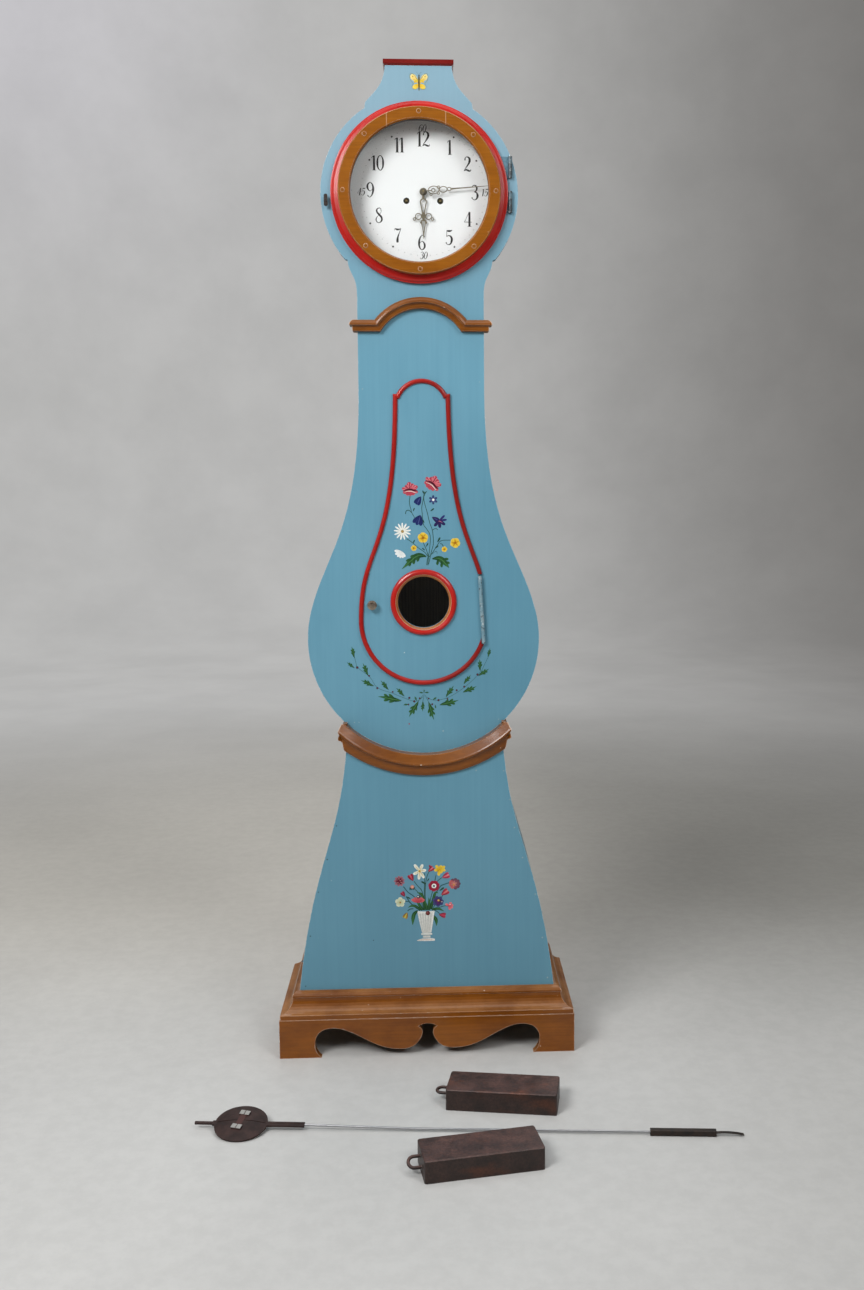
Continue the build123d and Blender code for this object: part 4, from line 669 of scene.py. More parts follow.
def minute_dots():
    nodes = Nodes("minute ring", Minutes=60, Ring=0.134, Dot=0.0007, Middle=(dial_x, dial_face, dial_z))
    ring = nodes.add("GeometryNodeMeshCircle", Vertices=nodes.size("Minutes"), Radius=nodes.size("Ring"))
    upright = nodes.add("GeometryNodeTransform", Geometry=ring, Rotation=(pi / 2, 0, 0),
                        Translation=nodes.size("Middle"))
    dot = nodes.add("GeometryNodeMeshCone", Vertices=9, Radius_Top=nodes.size("Dot"),
                    Radius_Bottom=nodes.size("Dot"), Depth=0.0002)
    flat = nodes.add("GeometryNodeTransform", Geometry=dot, Rotation=(pi / 2, 0, 0))
    dots = nodes.add("GeometryNodeInstanceOnPoints", Points=upright, Instance=flat)
    nodes.close(dots, ink_paint())
    nodes.grow("dial_minute_dots", bpy.data.meshes.new("dial_minute_dots"), "case")


minute_dots()


# ---------------------------------------------------------------- the hands
# Both hands are cut from sheet brass, pierced with a fretsaw and filed flat. They have gone dull
# and dark, with the metal brighter along the filed edges.
def old_brass(name, clean, tarnish, share):
    material, at = finish(name)
    clouds = at.cloud(60, 5, 0.65)
    fine = at.stretched(700, 90, 700).cloud(1.0, 3, 0.6)
    edge = edge_wear(at, 0.0008, 0.03, 0.3)
    dull = (clouds + share - edge * 0.3).rise(0.4, 0.85)
    shade = dull.between(clean, tarnish)
    shade = shade.times(fine.rise(0.3, 0.7).between(0.9, 1.06))
    surface(at, shade, dull * 0.22 + 0.28, fine.bumped(0.3, 0.00008), Metallic=1 - dull * 0.35)
    return material


hand_brass = old_brass("dull hand brass", (0.42, 0.36, 0.26), (0.12, 0.1, 0.07), 0.12)
coat(hand_brass, "minute_hand", "hour_hand")


# ---------------------------------------------------------------- the movement
# Two brass plates on turned pillars hold the going train and the striking train. Wheels and
# barrels are brass, and arbors, anchor, crutch, hammer and cock are iron and steel.
plate_brass = old_brass("movement brass", (0.78, 0.58, 0.27), (0.3, 0.2, 0.09), 0.0)
coat(plate_brass, "movement_plates", "movement_pillars", "hour_wheel", "minute_wheel", "centre_wheel",
     "third_wheel", "escape_wheel", "going_great_wheel", "going_barrel", "strike_great_wheel",
     "strike_barrel", "pin_wheel", "fly")
coat(old_brass("bell metal", (0.72, 0.57, 0.33), (0.26, 0.19, 0.1), -0.05), "bell")


def worn_steel(name, bright, dark, share):
    material, at = finish(name)
    clouds = at.cloud(45, 5, 0.65)
    drawn = at.stretched(60, 800, 800).cloud(1.0, 3, 0.6)
    edge = edge_wear(at, 0.0009, 0.04, 0.3)
    rust = (clouds + share - edge * 0.35).rise(0.45, 0.8)
    shade = rust.between(bright, dark)
    shade = shade.times(drawn.rise(0.3, 0.7).between(0.88, 1.08))
    height = drawn + clouds
    surface(at, shade, rust * 0.35 + 0.3, height.bumped(0.35, 0.0001), Metallic=1 - rust * 0.7)
    return material


coat(worn_steel("filed steel", (0.5, 0.49, 0.47), (0.1, 0.075, 0.06), 0.0), "pendulum_cock", "bell_stand",
     "anchor_and_crutch", "hammer", "cannon_pinion")


# ---------------------------------------------------------------- the hood door
# A turned and joined round frame: the red rim, the brown ring pegged on it, and a pane of old
# glass bedded in putty from behind. It hangs on two hinges at the right and shuts on a turn.
def window_glass():
    material, at = finish("old window glass")
    waves = at.stretched(9, 9, 5).cloud(1.0, 3, 0.5)
    bent = waves.bumped(0.12, 0.002)
    clear = at.node("BsdfTransparent", {}, Color=(0.985, 0.99, 0.986))
    gloss = at.node("BsdfGlossy", {}, Color=1, Roughness=0.02, Normal=bent)
    share = at.node("Fresnel", {}, IOR=1.45, Normal=bent)
    dust_and_top_light = at.cloud(5, 4, 0.6).rise(0.4, 0.9) * 0.02
    outside = 1 - at.node("NewGeometry", {}, out="Backfacing")
    both = at.node("MixShader", {}, (share + dust_and_top_light) * outside, clear, gloss)
    at.node("OutputMaterial", {}, Surface=both)
    return material


coat(window_glass(), "hood_glass", "window_glass")


ring_low, ring_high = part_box("hood_door_ring")
ring_x, ring_z = (ring_low[0] + ring_high[0]) / 2, (ring_low[2] + ring_high[2]) / 2
ring_open_r, joint_left, joint_right = 0.147, 0.068, 0.057


def ring_marks(at, shade):
    """Pale lines where the ring's segments join, and painted shade, near black, on its inner edge."""
    x, y, z = split(at)
    above = z.rise(ring_z, ring_z + 0.01)
    for joint_x in (ring_x - joint_left, ring_x + joint_right):
        away = x - joint_x
        line = away.maths("ABSOLUTE", away).rise(0.0011, 0.0004) * above
        shade = (line * 0.45).between(shade, (0.62, 0.42, 0.28))
    # Painted shade: the ring's inner edge is near black.
    inner = from_axis(at, ring_x, ring_z).rise(ring_open_r + 0.0006, ring_open_r + 0.0002)
    return inner.between(shade, (0.015, 0.012, 0.01))


def peg_marks(at, shade):
    """Each peg's head, with a painted highlight in patches round its edge."""
    edge = edge_wear(at, 0.0014, 0.01, 0.1) * at.cloud(110, 3, 0.6).rise(0.3, 0.55)
    return (edge * 0.75).between(shade, (0.78, 0.5, 0.3))


ring_brown = brown_oil_paint("ring paint", (0.3, 0.098, 0.003), (0.235, 0.07, 0.002), 0.3, ring_marks)
coat(ring_brown, "hood_door_ring")
peg_brown = brown_oil_paint("peg paint", (0.28, 0.09, 0.004), (0.2, 0.06, 0.002), 0.3, peg_marks)
coat(peg_brown, "ring_pegs")


def putty():
    material, at = finish("old putty")
    clouds = at.cloud(60, 5, 0.65)
    cracks = at.node("TexVoronoi", {"feature": "DISTANCE_TO_EDGE"}, Vector=at, Scale=120.0)
    shade = clouds.rise(0.3, 0.7).between((0.62, 0.57, 0.47), (0.42, 0.37, 0.29))
    split_open = cracks.rise(0.05, 0.0)
    shade = split_open.between(shade, (0.2, 0.17, 0.13))
    surface(at, shade, 0.85, (clouds - split_open).bumped(0.6, 0.0004))
    return material


coat(putty(), "glass_putty")


def black_iron():
    material, at = finish("black iron")
    clouds = at.cloud(70, 5, 0.65)
    edge = edge_wear(at, 0.0012, 0.04, 0.3)
    shade = clouds.rise(0.3, 0.75).between((0.02, 0.018, 0.017), (0.05, 0.032, 0.024))
    shade = (edge * 0.5).between(shade, (0.2, 0.18, 0.16))
    surface(at, shade, clouds * 0.3 + 0.35, clouds.bumped(0.5, 0.0004), Metallic=0.6)
    return material


coat(black_iron(), "hood_catch")


# ---------------------------------------------------------------- the hinges
# Forged iron butts with pinned knuckles. The case paint went over them, and turning has rubbed
# the joints between the knuckles back to bright metal and red lead.
def painted_hinge(name, dull, clean, spotted):
    """Iron under blue paint, rubbed bare on its edges and dirty in its joints. The face that is let
    into the wood was painted over with the case."""
    material, at = finish(name)
    clouds = at.cloud(85, 5, 0.7)
    edge = edge_wear(at, 0.0012, 0.03, 0.25)
    shade = at.cloud(26, 3, 0.5).rise(0.35, 0.65).between(dull, clean)
    bare = (edge * 0.5 + clouds).rise(0.6, 0.7)
    grime = (at.cloud(130, 4, 0.7) + spotted).rise(0.56, 0.62)
    leaf_front, leaf_back = -0.2626, -0.2612
    let_in = split(at)[1].rise(leaf_front, leaf_back)
    primer = (clouds - bare * 0.4).rise(0.655, 0.68)
    # Painted glints: pale spots on the hinge.
    painted_glints = (at.cloud(150, 2, 0.5) - grime * 0.3).rise(0.66, 0.7)
    shade = layered(shade, (bare, (0.42, 0.44, 0.43)), (grime * 0.85, (0.022, 0.022, 0.024)),
                    (let_in, (0.14, 0.32, 0.43)), (primer, (0.34, 0.12, 0.1)), (painted_glints, (0.72, 0.74, 0.72)))
    surface(at, shade, 0.42 - bare * 0.12, clouds.bumped(0.5, 0.0003),
            Metallic=bare * (1 - let_in) * 0.7)
    return material


grimy_iron = painted_hinge("grimy hinge iron", (0.03, 0.045, 0.055), (0.12, 0.2, 0.24), 0.05)
coat(grimy_iron, "hood_hinge_leaves", "hood_door_hinges")
painted_iron = painted_hinge("painted hinge iron", (0.16, 0.29, 0.35), (0.3, 0.39, 0.42), 0.0)
coat(painted_iron, "case_hinge_leaf", "case_door_hinge")


# ---------------------------------------------------------------- the case knob
# A small turned brass knob on a spindle through the door, dark in its hollows and bright where
# fingers rub it. The spindle turns a flat tongue behind the front board.
coat(old_brass("handled brass", (0.5, 0.42, 0.33), (0.05, 0.032, 0.022), 0.16), "case_knob")


# ---------------------------------------------------------------- the painted flowers
# Country flowers in oil colour, laid straight on the blue. Each petal and leaf is one press of a
# round brush, dark colours first and light ones last, and the stems are drawn with a liner.
white, cream = (0.83, 0.84, 0.81), (0.72, 0.7, 0.48)
crimson, rose, pale_rose = (0.12, 0.006, 0.024), (0.52, 0.05, 0.085), (0.76, 0.26, 0.28)
navy, violet, slate = (0.008, 0.014, 0.085), (0.03, 0.012, 0.075), (0.06, 0.08, 0.22)
yellow, lemon, ochre = (0.7, 0.42, 0.015), (0.82, 0.62, 0.09), (0.42, 0.18, 0.012)
leaf_dark, leaf_light = (0.008, 0.045, 0.016), (0.035, 0.135, 0.035)
stem_green, stem_blue = (0.028, 0.09, 0.07), (0.03, 0.1, 0.11)


def stems(art, *lines, width=1.5, shade=stem_green):
    for line in lines:
        art.stroke([(x, z, width) for x, z in line], shade, steps=4)


def petal(art, x, z, turn, long, wide, root, tip=None, layer=1):
    """One press of the brush, from its root outwards."""
    press = ((0, 0.25), (0.3, 0.75), (0.66, 1), (0.92, 0.66), (1, 0.12))
    line = [(along * long, 0, w * wide) for along, w in press]
    art.stroke(line, root, tip, steps=3, layer=layer, at=(x, z), turn=turn)


def fan(start, step, count):
    return [start + step * i for i in range(count)]


def rosette(art, x, z, radius, turns, wide, root, tip, layer=1):
    for turn in turns:
        petal(art, x, z, turn, radius, wide, root, tip, layer)


def blades(art, *lines):
    """Long leaves along (x, z, width) points, each with a light stroke up its middle."""
    for line in lines:
        art.stroke(line, leaf_dark, leaf_light, layer=1)
        art.stroke([(x, z, 0.12 * w) for x, z, w in line], leaf_light, (0.09, 0.24, 0.09), layer=2)


def small_leaves(art, *places, wide=None, tip=stem_green):
    for x, z, turn, long in places:
        petal(art, x, z, turn, long, wide or 0.34 * long, leaf_dark, tip)


def full_flower(art, x, z, radius, turn):
    """A ruffled pink flower from the side: lobes behind, pale streaks, and ruffles at the foot. A dark
    fold and pale lips cross its front."""
    ruffle = (0.62, 0.1, 0.13)
    for root, tip, layer, lobes in (
            (crimson, rose, 1, ((74, 1.02, 0.5), (38, 0.8, 0.5), (4, 0.96, 0.6), (-34, 0.84, 0.52),
                                (-70, 1.0, 0.54))),
            (rose, pale_rose, 2, ((80, 0.98, 0.16), (62, 0.9, 0.14), (30, 0.74, 0.16), (10, 0.92, 0.2),
                                  (-12, 0.86, 0.14), (-40, 0.8, 0.18), (-62, 0.94, 0.2), (-80, 0.9, 0.12))),
            (crimson, ruffle, 2, ((108, 0.94, 0.46), (140, 0.8, 0.46), (176, 0.74, 0.46),
                                  (212, 0.8, 0.46), (246, 0.98, 0.46)))):
        for lean, long, wide in lobes:
            petal(art, x, z, turn + lean, long * radius, wide * radius, root, tip, layer)
    fold, lip = (0.06, 0.004, 0.014), (0.82, 0.55, 0.52)
    for shade, *line in (
            (fold, (-0.86, -0.06, 0.05), (-0.4, 0.08, 0.15), (0.1, 0.04, 0.2), (0.5, -0.14, 0.15),
             (0.9, -0.2, 0.04)),
            (lip, (-0.7, -0.2, 0.04), (-0.3, -0.14, 0.09), (0.1, -0.18, 0.12), (0.5, -0.36, 0.08),
             (0.74, -0.4, 0.03)),
            (rose, (-0.7, -0.36, 0.05), (-0.2, -0.34, 0.16), (0.2, -0.46, 0.14), (0.5, -0.54, 0.05)),
            (crimson, (-0.1, 0.12, 0.05), (0.02, 0.42, 0.09), (-0.06, 0.72, 0.03))):
        across = [(a * radius, b * radius, w * radius) for a, b, w in line]
        art.stroke(across, shade, layer=3, at=(x, z), turn=turn - 90)


def bell(art, x, z, turn, long, spread, root=navy, tip=(0.014, 0.026, 0.14)):
    """A hanging bell flower of three petals, with two fine lines down it."""
    for lean in (-1, 0, 1):
        petal(art, x, z, turn + lean * spread, long, 0.42 * long, root, tip)
    petal(art, x, z, turn + 0.3 * spread, 0.84 * long, 0.08 * long, slate, (0.07, 0.1, 0.3), 2)
    petal(art, x, z, turn - 0.5 * spread, 0.8 * long, 0.07 * long, navy, (0.03, 0.05, 0.22), 2)


def buttercup(art, x, z, radius, turn):
    rosette(art, x, z, radius, fan(turn, 72, 5), 1.05 * radius, yellow, lemon)
    rosette(art, x, z, 0.86 * radius, fan(turn + 36, 72, 5), 0.2 * radius, ochre, yellow, 2)
    rosette(art, x, z, 0.62 * radius, fan(turn + 20, 120, 3), 0.26 * radius, ochre, yellow, 3)
    art.dot(x, z, 0.26 * radius, (0.3, 0.12, 0.01), 4, ochre)


def bud(art, x, z, turn, long, root=rose, tip=pale_rose):
    """A closed flower: two petals and a light one between them."""
    for lean in (-15, 15):
        petal(art, x, z, turn + lean, long, 0.4 * long, crimson, root)
    petal(art, x, z, turn, 0.94 * long, 0.24 * long, root, tip, 2)


# The posy on the door: two full pink flowers on top, blue bells and violets, a white daisy and yellow
# buttercups, with two toothed leaves at the foot of its stems.
door_face_y = -0.262
posy = Painting("door_flowers", 0.0, door_face_y, 1.2)
stems(posy, ((10.5, -95), (12, -77), (15, -54), (16, -30), (9, -16), (1, -4), (-1, 17), (-2, 32), (1, 48),
             (4, 67)),
      ((12, -93), (18, -66), (23, -46), (21, -19), (15, -1), (10, 21), (4, 43), (3, 56), (9, 68)))
stems(posy, ((8, -95), (9, -84), (11, -76), (10, -68)), width=1.8)
stems(posy, ((-27, 60), (-29, 43), (-26, 29), (-24, 21), (-18, 10)))
stems(posy, ((-24, 21), (-30, 26), (-36, 25), (-38, 18)), width=1.7)
stems(posy, ((20, -18), (28, -14), (33, -17)), ((-36, -36), (-22, -46), (-11, -56), (3, -66), (10, -75)),
      ((0, -43), (3, -51), (7, -60), (10, -70)), ((61, -40), (40, -41), (31, -52), (21, -67), (13, -77)),
      ((45, -54), (42, -49), (38, -47)))
stems(posy, ((20, -70), (29, -64), (31, -70)), width=0.9)
small_leaves(posy, (-21, 24, 68, 8), (17, 24, 38, 10), (3, 62, 110, 8), (3, 62, 42, 7), (3, -2, 110, 8),
             (32, -44, 60, 12), (26, -58, 38, 10), (7, -54, 62, 9), (-22, -46, 62, 8), (4, -62, 140, 8))
full_flower(posy, -27, 71, 18, 96)
full_flower(posy, 22, 84, 19.5, 62)
bell(posy, -4, 56, -122, 20, 15)
bell(posy, -5, 15, -113, 23, 24)
bell(posy, 21, 11, -32, 17, 10, violet, navy)
rosette(posy, 36, 3, 17, (8, 44), 5, violet, (0.02, 0.03, 0.2))
rosette(posy, 36, 3, 16, (-34, -84, -132), 7, violet, navy)
petal(posy, 36, 3, -30, 9, 1.2, pale_rose, slate, 2)
posy.dot(36, 2, 1.6, pale_rose, 3, violet)
rosette(posy, 23.4, 49, 10, fan(30, 60, 6), 5, slate, navy)
posy.dot(23.4, 49, 2.8, white, 2)
rosette(posy, -45, -20, 19, fan(8, 27.7, 13), 3.8, (0.8, 0.78, 0.68), (0.88, 0.89, 0.87))
posy.dot(-45, -20, 3.3, (0.5, 0.33, 0.07), 2, (0.3, 0.2, 0.08))
for x, z, radius, turn in ((0, -34, 11.5, 90), (71, -46, 11, 60), (-20.5, -57, 6.4, 100), (47, -60, 6.2, 80)):
    buttercup(posy, x, z, radius, turn)
rosette(posy, -48, -64, 15, (176, 206, 234, 260, 284, 304), 6, (0.74, 0.77, 0.76), (0.88, 0.89, 0.87))
blades(posy, ((7, -76, 2), (-5, -73, 10), (-16, -76, 13), (-28, -86, 10), (-47, -103, 1)))
small_leaves(posy, (-8, -74, -112, 14), (-18, -79, -106, 14), (-27, -86, -112, 12), (-14, -72, 196, 15),
             (-24, -80, 202, 15), wide=6, tip=leaf_light)
blades(posy, ((20, -81, 2), (34, -80, 11), (45, -87, 13), (57, -101, 1)))
small_leaves(posy, (33, -82, -100, 13), (41, -86, -92, 14), (43, -82, 2, 13), (48, -88, -16, 11),
             wide=6, tip=leaf_light)
posy.hang("case_door")


# The vase on the base holds a mixed bunch: a narcissus and a daffodil on top, then tulips, an
# anemone, double flowers and a pansy, over dark leaves that hang past the rim.
panel_face_y = -0.275
bunch = Painting("vase_flowers", 0.0, panel_face_y, 0.34)
stems(bunch, ((-1, -17), (-3, 22), (-1, 50), (3, 66), (9, 76)), ((-4, 69), (-4, 47), (-5, 20), (-3, -14)),
      ((22, 64), (19, 50), (14, 30)), ((35, 58), (27, 52), (20, 44)),
      ((-28, 51), (-20, 40), (-10, 27), (-6, 0), (-4, -14)), ((14, 28), (9, 8), (5, -14)),
      ((-27, 33), (-21, 27), (-14, 16), (-9, -12)), ((41, 22), (30, 8), (14, -12)),
      ((50, -9), (40, -8), (24, -13)), ((30, -27), (24, -21), (15, -16)), width=1.7)
stems(bunch, ((-52, 39), (-42, 26), (-29, 16), (-16, 0), (-10, -14)), ((-46, 16), (-36, 0), (-21, -14)),
      ((-50, 4), (-41, 4), (-34, -2)), ((-43, -18), (-38, -14), (-30, -13)),
      ((52, 46), (40, 42), (30, 36), (14, 8), (8, -14)), width=2.4, shade=stem_blue)
blades(bunch, ((-20, -18, 4), (-28, -25, 8), (-31, -36, 8), (-32, -51, 1)),
       ((-14, -17, 5), (-24, -8, 6), (-33, -6, 5), (-42, -10, 1)), ((15, -30, 4), (21, -40, 8), (22, -54, 1)),
       ((12, -16, 5), (26, -14, 6), (39, -20, 1)), ((5, -17, 6), (6, 0, 6), (5, 12, 1)),
       ((9, -15, 6), (15, 6, 7), (20, 23, 5), (27, 22, 1)),
       ((-5, -17, 5), (-7, 8, 6), (-12, 21, 5), (-21, 24, 1)),
       ((1, -17, 6), (-1, -4, 5), (-4, 6, 1)), ((-9, -17, 6), (-16, -6, 6), (-22, 2, 1)))
small_leaves(bunch, (-1, 44, 150, 12), (30, 28, 36, 12), (-36, 10, 150, 10), (2, 50, 60, 8), (-38, 30, 70, 8))
for turn, long in ((127, 20), (66, 17.5), (8, 15), (-58, 19.5), (-96, 19.5), (-154, 16)):
    petal(bunch, -15, 74, turn, long, 7, cream, white)
    petal(bunch, -15, 74, turn + 4, 0.8 * long, 1.2, ochre, cream, 2)
bunch.dot(-15, 74, 2.8, ochre, 3, (0.55, 0.42, 0.08))
for turn, long in ((128, 13), (64, 11), (30, 15), (-8, 14), (-50, 10), (-98, 14), (187, 12)):
    petal(bunch, 29.6, 76.7, turn, long, 7, yellow, lemon)
bunch.dot(27, 76, 4.2, (0.5, 0.36, 0.02), 2, yellow)
petal(bunch, 24, 72, 40, 12, 2, ochre, yellow, 3)
bud(bunch, 5, 73, 42, 15)
petal(bunch, 9, 80, 100, 8, 4, crimson, rose, 2)
for x, z, turn, long, root, tip in (
        (36, 58, 24, 18, (0.62, 0.06, 0.13), (0.8, 0.3, 0.3)),
        (-30, 52, 118, 17, (0.4, 0.02, 0.045), (0.62, 0.14, 0.16)),
        (-49, 16, 124, 13, (0.3, 0.03, 0.07), rose), (34, 18, 35, 19, rose, (0.72, 0.28, 0.24)),
        (28, -28, -10, 16, (0.42, 0.04, 0.08), rose),
        (-44, -22, -116, 15, (0.42, 0.33, 0.04), (0.6, 0.5, 0.12))):
    bud(bunch, x, z, turn, long, root, tip)
rosette(bunch, -60.8, 51.8, 12.5, fan(18, 40, 9), 6, crimson, (0.45, 0.2, 0.24))
rosette(bunch, -60.8, 51.8, 8, fan(0, 60, 6), 3, crimson, (0.1, 0.008, 0.02), 2)
for x, z in ((-59, 53), (-64, 48), (-57, 49), (-62, 57)):
    bunch.dot(x, z, 1.7, (0.68, 0.4, 0.38), 3, crimson)
rosette(bunch, -32, 37, 7, (200, 240, 300, 340), 4, leaf_dark, stem_blue)
bunch.dot(-32, 38, 4.2, (0.75, 0.42, 0.3), 2, (0.55, 0.2, 0.15))
rosette(bunch, 17, 39, 12.8, fan(12, 51.4, 7), 11, (0.24, 0.006, 0.02), (0.36, 0.02, 0.06))
bunch.dot(17, 39, 5.4, white, 3)
bunch.dot(17, 39.2, 2.6, (0.05, 0.06, 0.09), 5)
bunch.dot(17.3, 39.5, 0.8, (0.5, 0.52, 0.5), 7)
rosette(bunch, 64, 43, 13.5, fan(-80, 40, 6), 8.5, (0.3, 0.1, 0.13), (0.05, 0.035, 0.075))
rosette(bunch, 63, 43, 12.5, (-122, 190, 150), 9, rose, (0.5, 0.16, 0.14))
rosette(bunch, 62, 43, 8, fan(20, 60, 6), 3.4, (0.66, 0.26, 0.2), (0.24, 0.08, 0.1), 2)
bunch.dot(62, 41, 2, (0.75, 0.45, 0.1), 4, ochre)
rosette(bunch, -59.5, 2.7, 11.5, fan(90, 72, 5), 10, (0.4, 0.46, 0.24), (0.78, 0.8, 0.64))
bunch.dot(-59.5, 2, 2, (0.2, 0.16, 0.06), 2, ochre)
for turn, long in ((152, 17), (128, 15), (100, 13), (72, 13), (48, 15), (26, 16)):
    petal(bunch, -19, 1, turn, long, 7, (0.42, 0.03, 0.06), (0.66, 0.16, 0.16))
bunch.dot(-18.5, 14.5, 3.8, (0.04, 0.035, 0.04), 2)
bunch.dot(-19, 15, 1.6, white, 4)
rosette(bunch, 26, 3, 13, fan(0, 54, 7), 9, violet, slate)
rosette(bunch, 26, 3, 8, (-70, -100, 160), 5, (0.14, 0.02, 0.15), violet, 2)
bunch.dot(30, 3.4, 4.6, (0.12, 0.04, 0.03), 2, violet)
bunch.dot(27, 5.4, 2.6, (0.8, 0.55, 0.2), 5, ochre)
bunch.dot(34.6, 2, 1.9, (0.66, 0.55, 0.4), 5, slate)
rosette(bunch, 51, -8, 9.5, (150, 60, 10, -30, -80), 6, rose, pale_rose)
bunch.dot(53, -5, 1.8, white, 3, pale_rose)

# The white vase itself: its bowl and lip, the flutes down its shaded side, its ring, its stand, and
# the dark flower over its lip.
flutes = [((0.42, 0.44, 0.43), (0.5, 0.5, 0.46), 4, (x, -25, 1.6), ((x + foot) / 2, -46, 1.3),
           (foot, -67, 0.8)) for x, foot in ((-15, -9), (-9, -5.5), (-3, -2), (4, 2), (10, 6))]
for root, tip, layer, *line in (
        ((0.66, 0.67, 0.63), (0.56, 0.56, 0.52), 2, (-1.5, -20.5, 39), (-1.2, -40, 32.5), (-0.6, -58, 25.5),
         (-0.2, -70, 21)),
        (white, (0.72, 0.72, 0.68), 3, (-20, -20, 1.5), (-2, -21.5, 2.6), (17.5, -19.6, 1.5)),
        *flutes,
        (white, (0.74, 0.76, 0.76), 5, (15.5, -22, 1.6), (12.5, -44, 1.8), (9, -68, 1.4)),
        ((0.62, 0.64, 0.6), (0.7, 0.7, 0.66), 3, (-13, -73, 3.4), (0, -72.4, 4.6), (12, -73, 3.4)),
        ((0.5, 0.51, 0.48), (0.64, 0.64, 0.6), 2, (-9, -79, 5), (8, -79, 5)),
        ((0.3, 0.34, 0.33), None, 5, (-9, -74.6, 0.9), (0, -75.4, 0.9), (9, -74.6, 0.9)),
        ((0.6, 0.57, 0.52), (0.74, 0.74, 0.72), 3, (-22.5, -88, 1.2), (-12, -86.4, 5.2), (0, -86, 6.4),
         (12, -86, 6), (18, -87, 4)),
        ((0.6, 0.42, 0.34), (0.68, 0.52, 0.42), 4, (-14, -86, 1.4), (0, -85.6, 1.6), (13, -86, 1.2))):
    bunch.stroke(line, root, tip, layer=layer)
bunch.dot(2.6, -24, 5.2, (0.2, 0.05, 0.045), 6, (0.07, 0.012, 0.012))
petal(bunch, -1, -25, 50, 8, 1.6, (0.4, 0.14, 0.14), crimson, 10)
bunch.hang("case")


# A yellow butterfly with a dark body sits on the neck, under the cap. Its two sides are alike: each
# wing is filled first, then edged in brown and spotted, and a feeler is drawn last.
board_face_y = -0.26
moth = Painting("butterfly", 0.0012, board_face_y, 2.135)
for side in (-1, 1):
    for line, root, tip in (([(0, -2, 4), (7, 4, 9), (13, 10, 12), (17.5, 13, 5)], yellow, (0.82, 0.72, 0.36)),
                            ([(0, -6, 5), (5, -9, 9), (10, -11, 9), (13.5, -12, 2.5)], yellow, lemon),
                            ([(1, 2, 2), (6, 2, 4), (10, -2, 3)], (0.62, 0.5, 0.05), yellow)):
        moth.stroke([(side * x, z, w) for x, z, w in line], root, tip, layer=1)
    edge = [(1, 3), (6, 8), (12, 15.5), (17, 16.5), (19.5, 11), (17, 2), (12.5, -4), (15, -9), (13.5, -14),
            (8, -15.5), (2, -14.5)]
    moth.stroke([(side * x, z, 0.9) for x, z in edge], (0.16, 0.2, 0.1), (0.3, 0.32, 0.14), layer=2)
    moth.dot(side * 13.2, 11, 3.6, (0.84, 0.76, 0.52), 3, lemon)
    moth.dot(side * 13, 10.6, 1.7, (0.4, 0.19, 0.02), 5, (0.55, 0.34, 0.06))
    moth.dot(side * 10.5, 4, 1.4, (0.6, 0.38, 0.03), 3, yellow)
    stems(moth, ((side * 0.6, 14), (side * 3, 18), (side * 6, 20)), width=0.5, shade=(0.12, 0.17, 0.19))
moth.stroke([(0, 10, 3.2), (0, 0, 4), (0, -9, 3.6), (0, -16, 2.2), (0, -18.5, 0.6)], (0.1, 0.085, 0.03),
            (0.12, 0.085, 0.025), layer=4)
moth.dot(0, 12.4, 2.2, (0.1, 0.16, 0.2), 5)
moth.hang("case")


# A garland of cut leaves and dark berries hangs under the door, on two drawn stems that meet in
# the middle. One leaf and one berry are painted and repeated at every place along it.
def cut_leaf():
    """One leaf of the garland, from its foot at the origin: a blade and four points."""
    art = Painting("garland_leaf", 0, 0, 0)
    art.stroke([(0, 0, 0.7), (6, 0.4, 4.2), (13, 0, 4.8), (19, 0, 2.8), (26, 0.4, 0.3)], leaf_dark,
               leaf_light, layer=1)
    small_leaves(art, (6, 0.8, 26, 8), (8, -0.8, -28, 8), (12, 0.6, 23, 8), (14, -0.6, -24, 7),
                 wide=2.8, tip=(0.045, 0.16, 0.04))
    art.stroke([(1, 0, 0.5), (10, 0.2, 0.9), (20, 0.2, 0.3)], (0.07, 0.2, 0.06), layer=3)
    return art.mesh()


def round_touch(name, shade, rim):
    """One dot of the brush, to be repeated."""
    art = Painting(name, 0, 0, 0)
    art.dot(0, 0, 1.9, shade, 1, rim)
    return art.mesh()


def set_out(name, one, places, front, z0, size=1.0):
    """Copies of one small mesh at (x, z, size, turn) places on the case, made into a single piece. A
    round one needs no turn."""
    base = bpy.data.meshes.new(name)
    base.from_pydata([(x / 1000, front, z0 + z / 1000) for x, z, *_ in places], [], [])
    turns = base.attributes.new("turn", "FLOAT", "POINT")
    shares = base.attributes.new("share", "FLOAT", "POINT")
    for i, (x, z, share, *turn) in enumerate(places):
        turns.data[i].value = -radians(sum(turn))
        shares.data[i].value = share
    pattern = bpy.data.objects.new(name + "_pattern", one)
    nodes = Nodes(name, Size=size)
    copy = nodes.add("GeometryNodeObjectInfo", Object=pattern, As_Instance=True, out="Geometry")
    turn = nodes.add("GeometryNodeInputNamedAttribute", {"data_type": "FLOAT"}, Name="turn")
    share = nodes.add("GeometryNodeInputNamedAttribute", {"data_type": "FLOAT"}, Name="share")
    around = nodes.add("ShaderNodeCombineXYZ", Y=turn)
    scale = nodes.add("ShaderNodeMath", {"operation": "MULTIPLY"}, Value=share)
    nodes.tree.links.new(nodes.size("Size"), scale.node.inputs[1])
    copies = nodes.add("GeometryNodeInstanceOnPoints", Points=nodes.start.outputs[0], Instance=copy,
                       Rotation=around, Scale=scale)
    nodes.close(copies, one.materials[0])
    nodes.grow(name, base, "case")
    bpy.data.objects.remove(pattern)


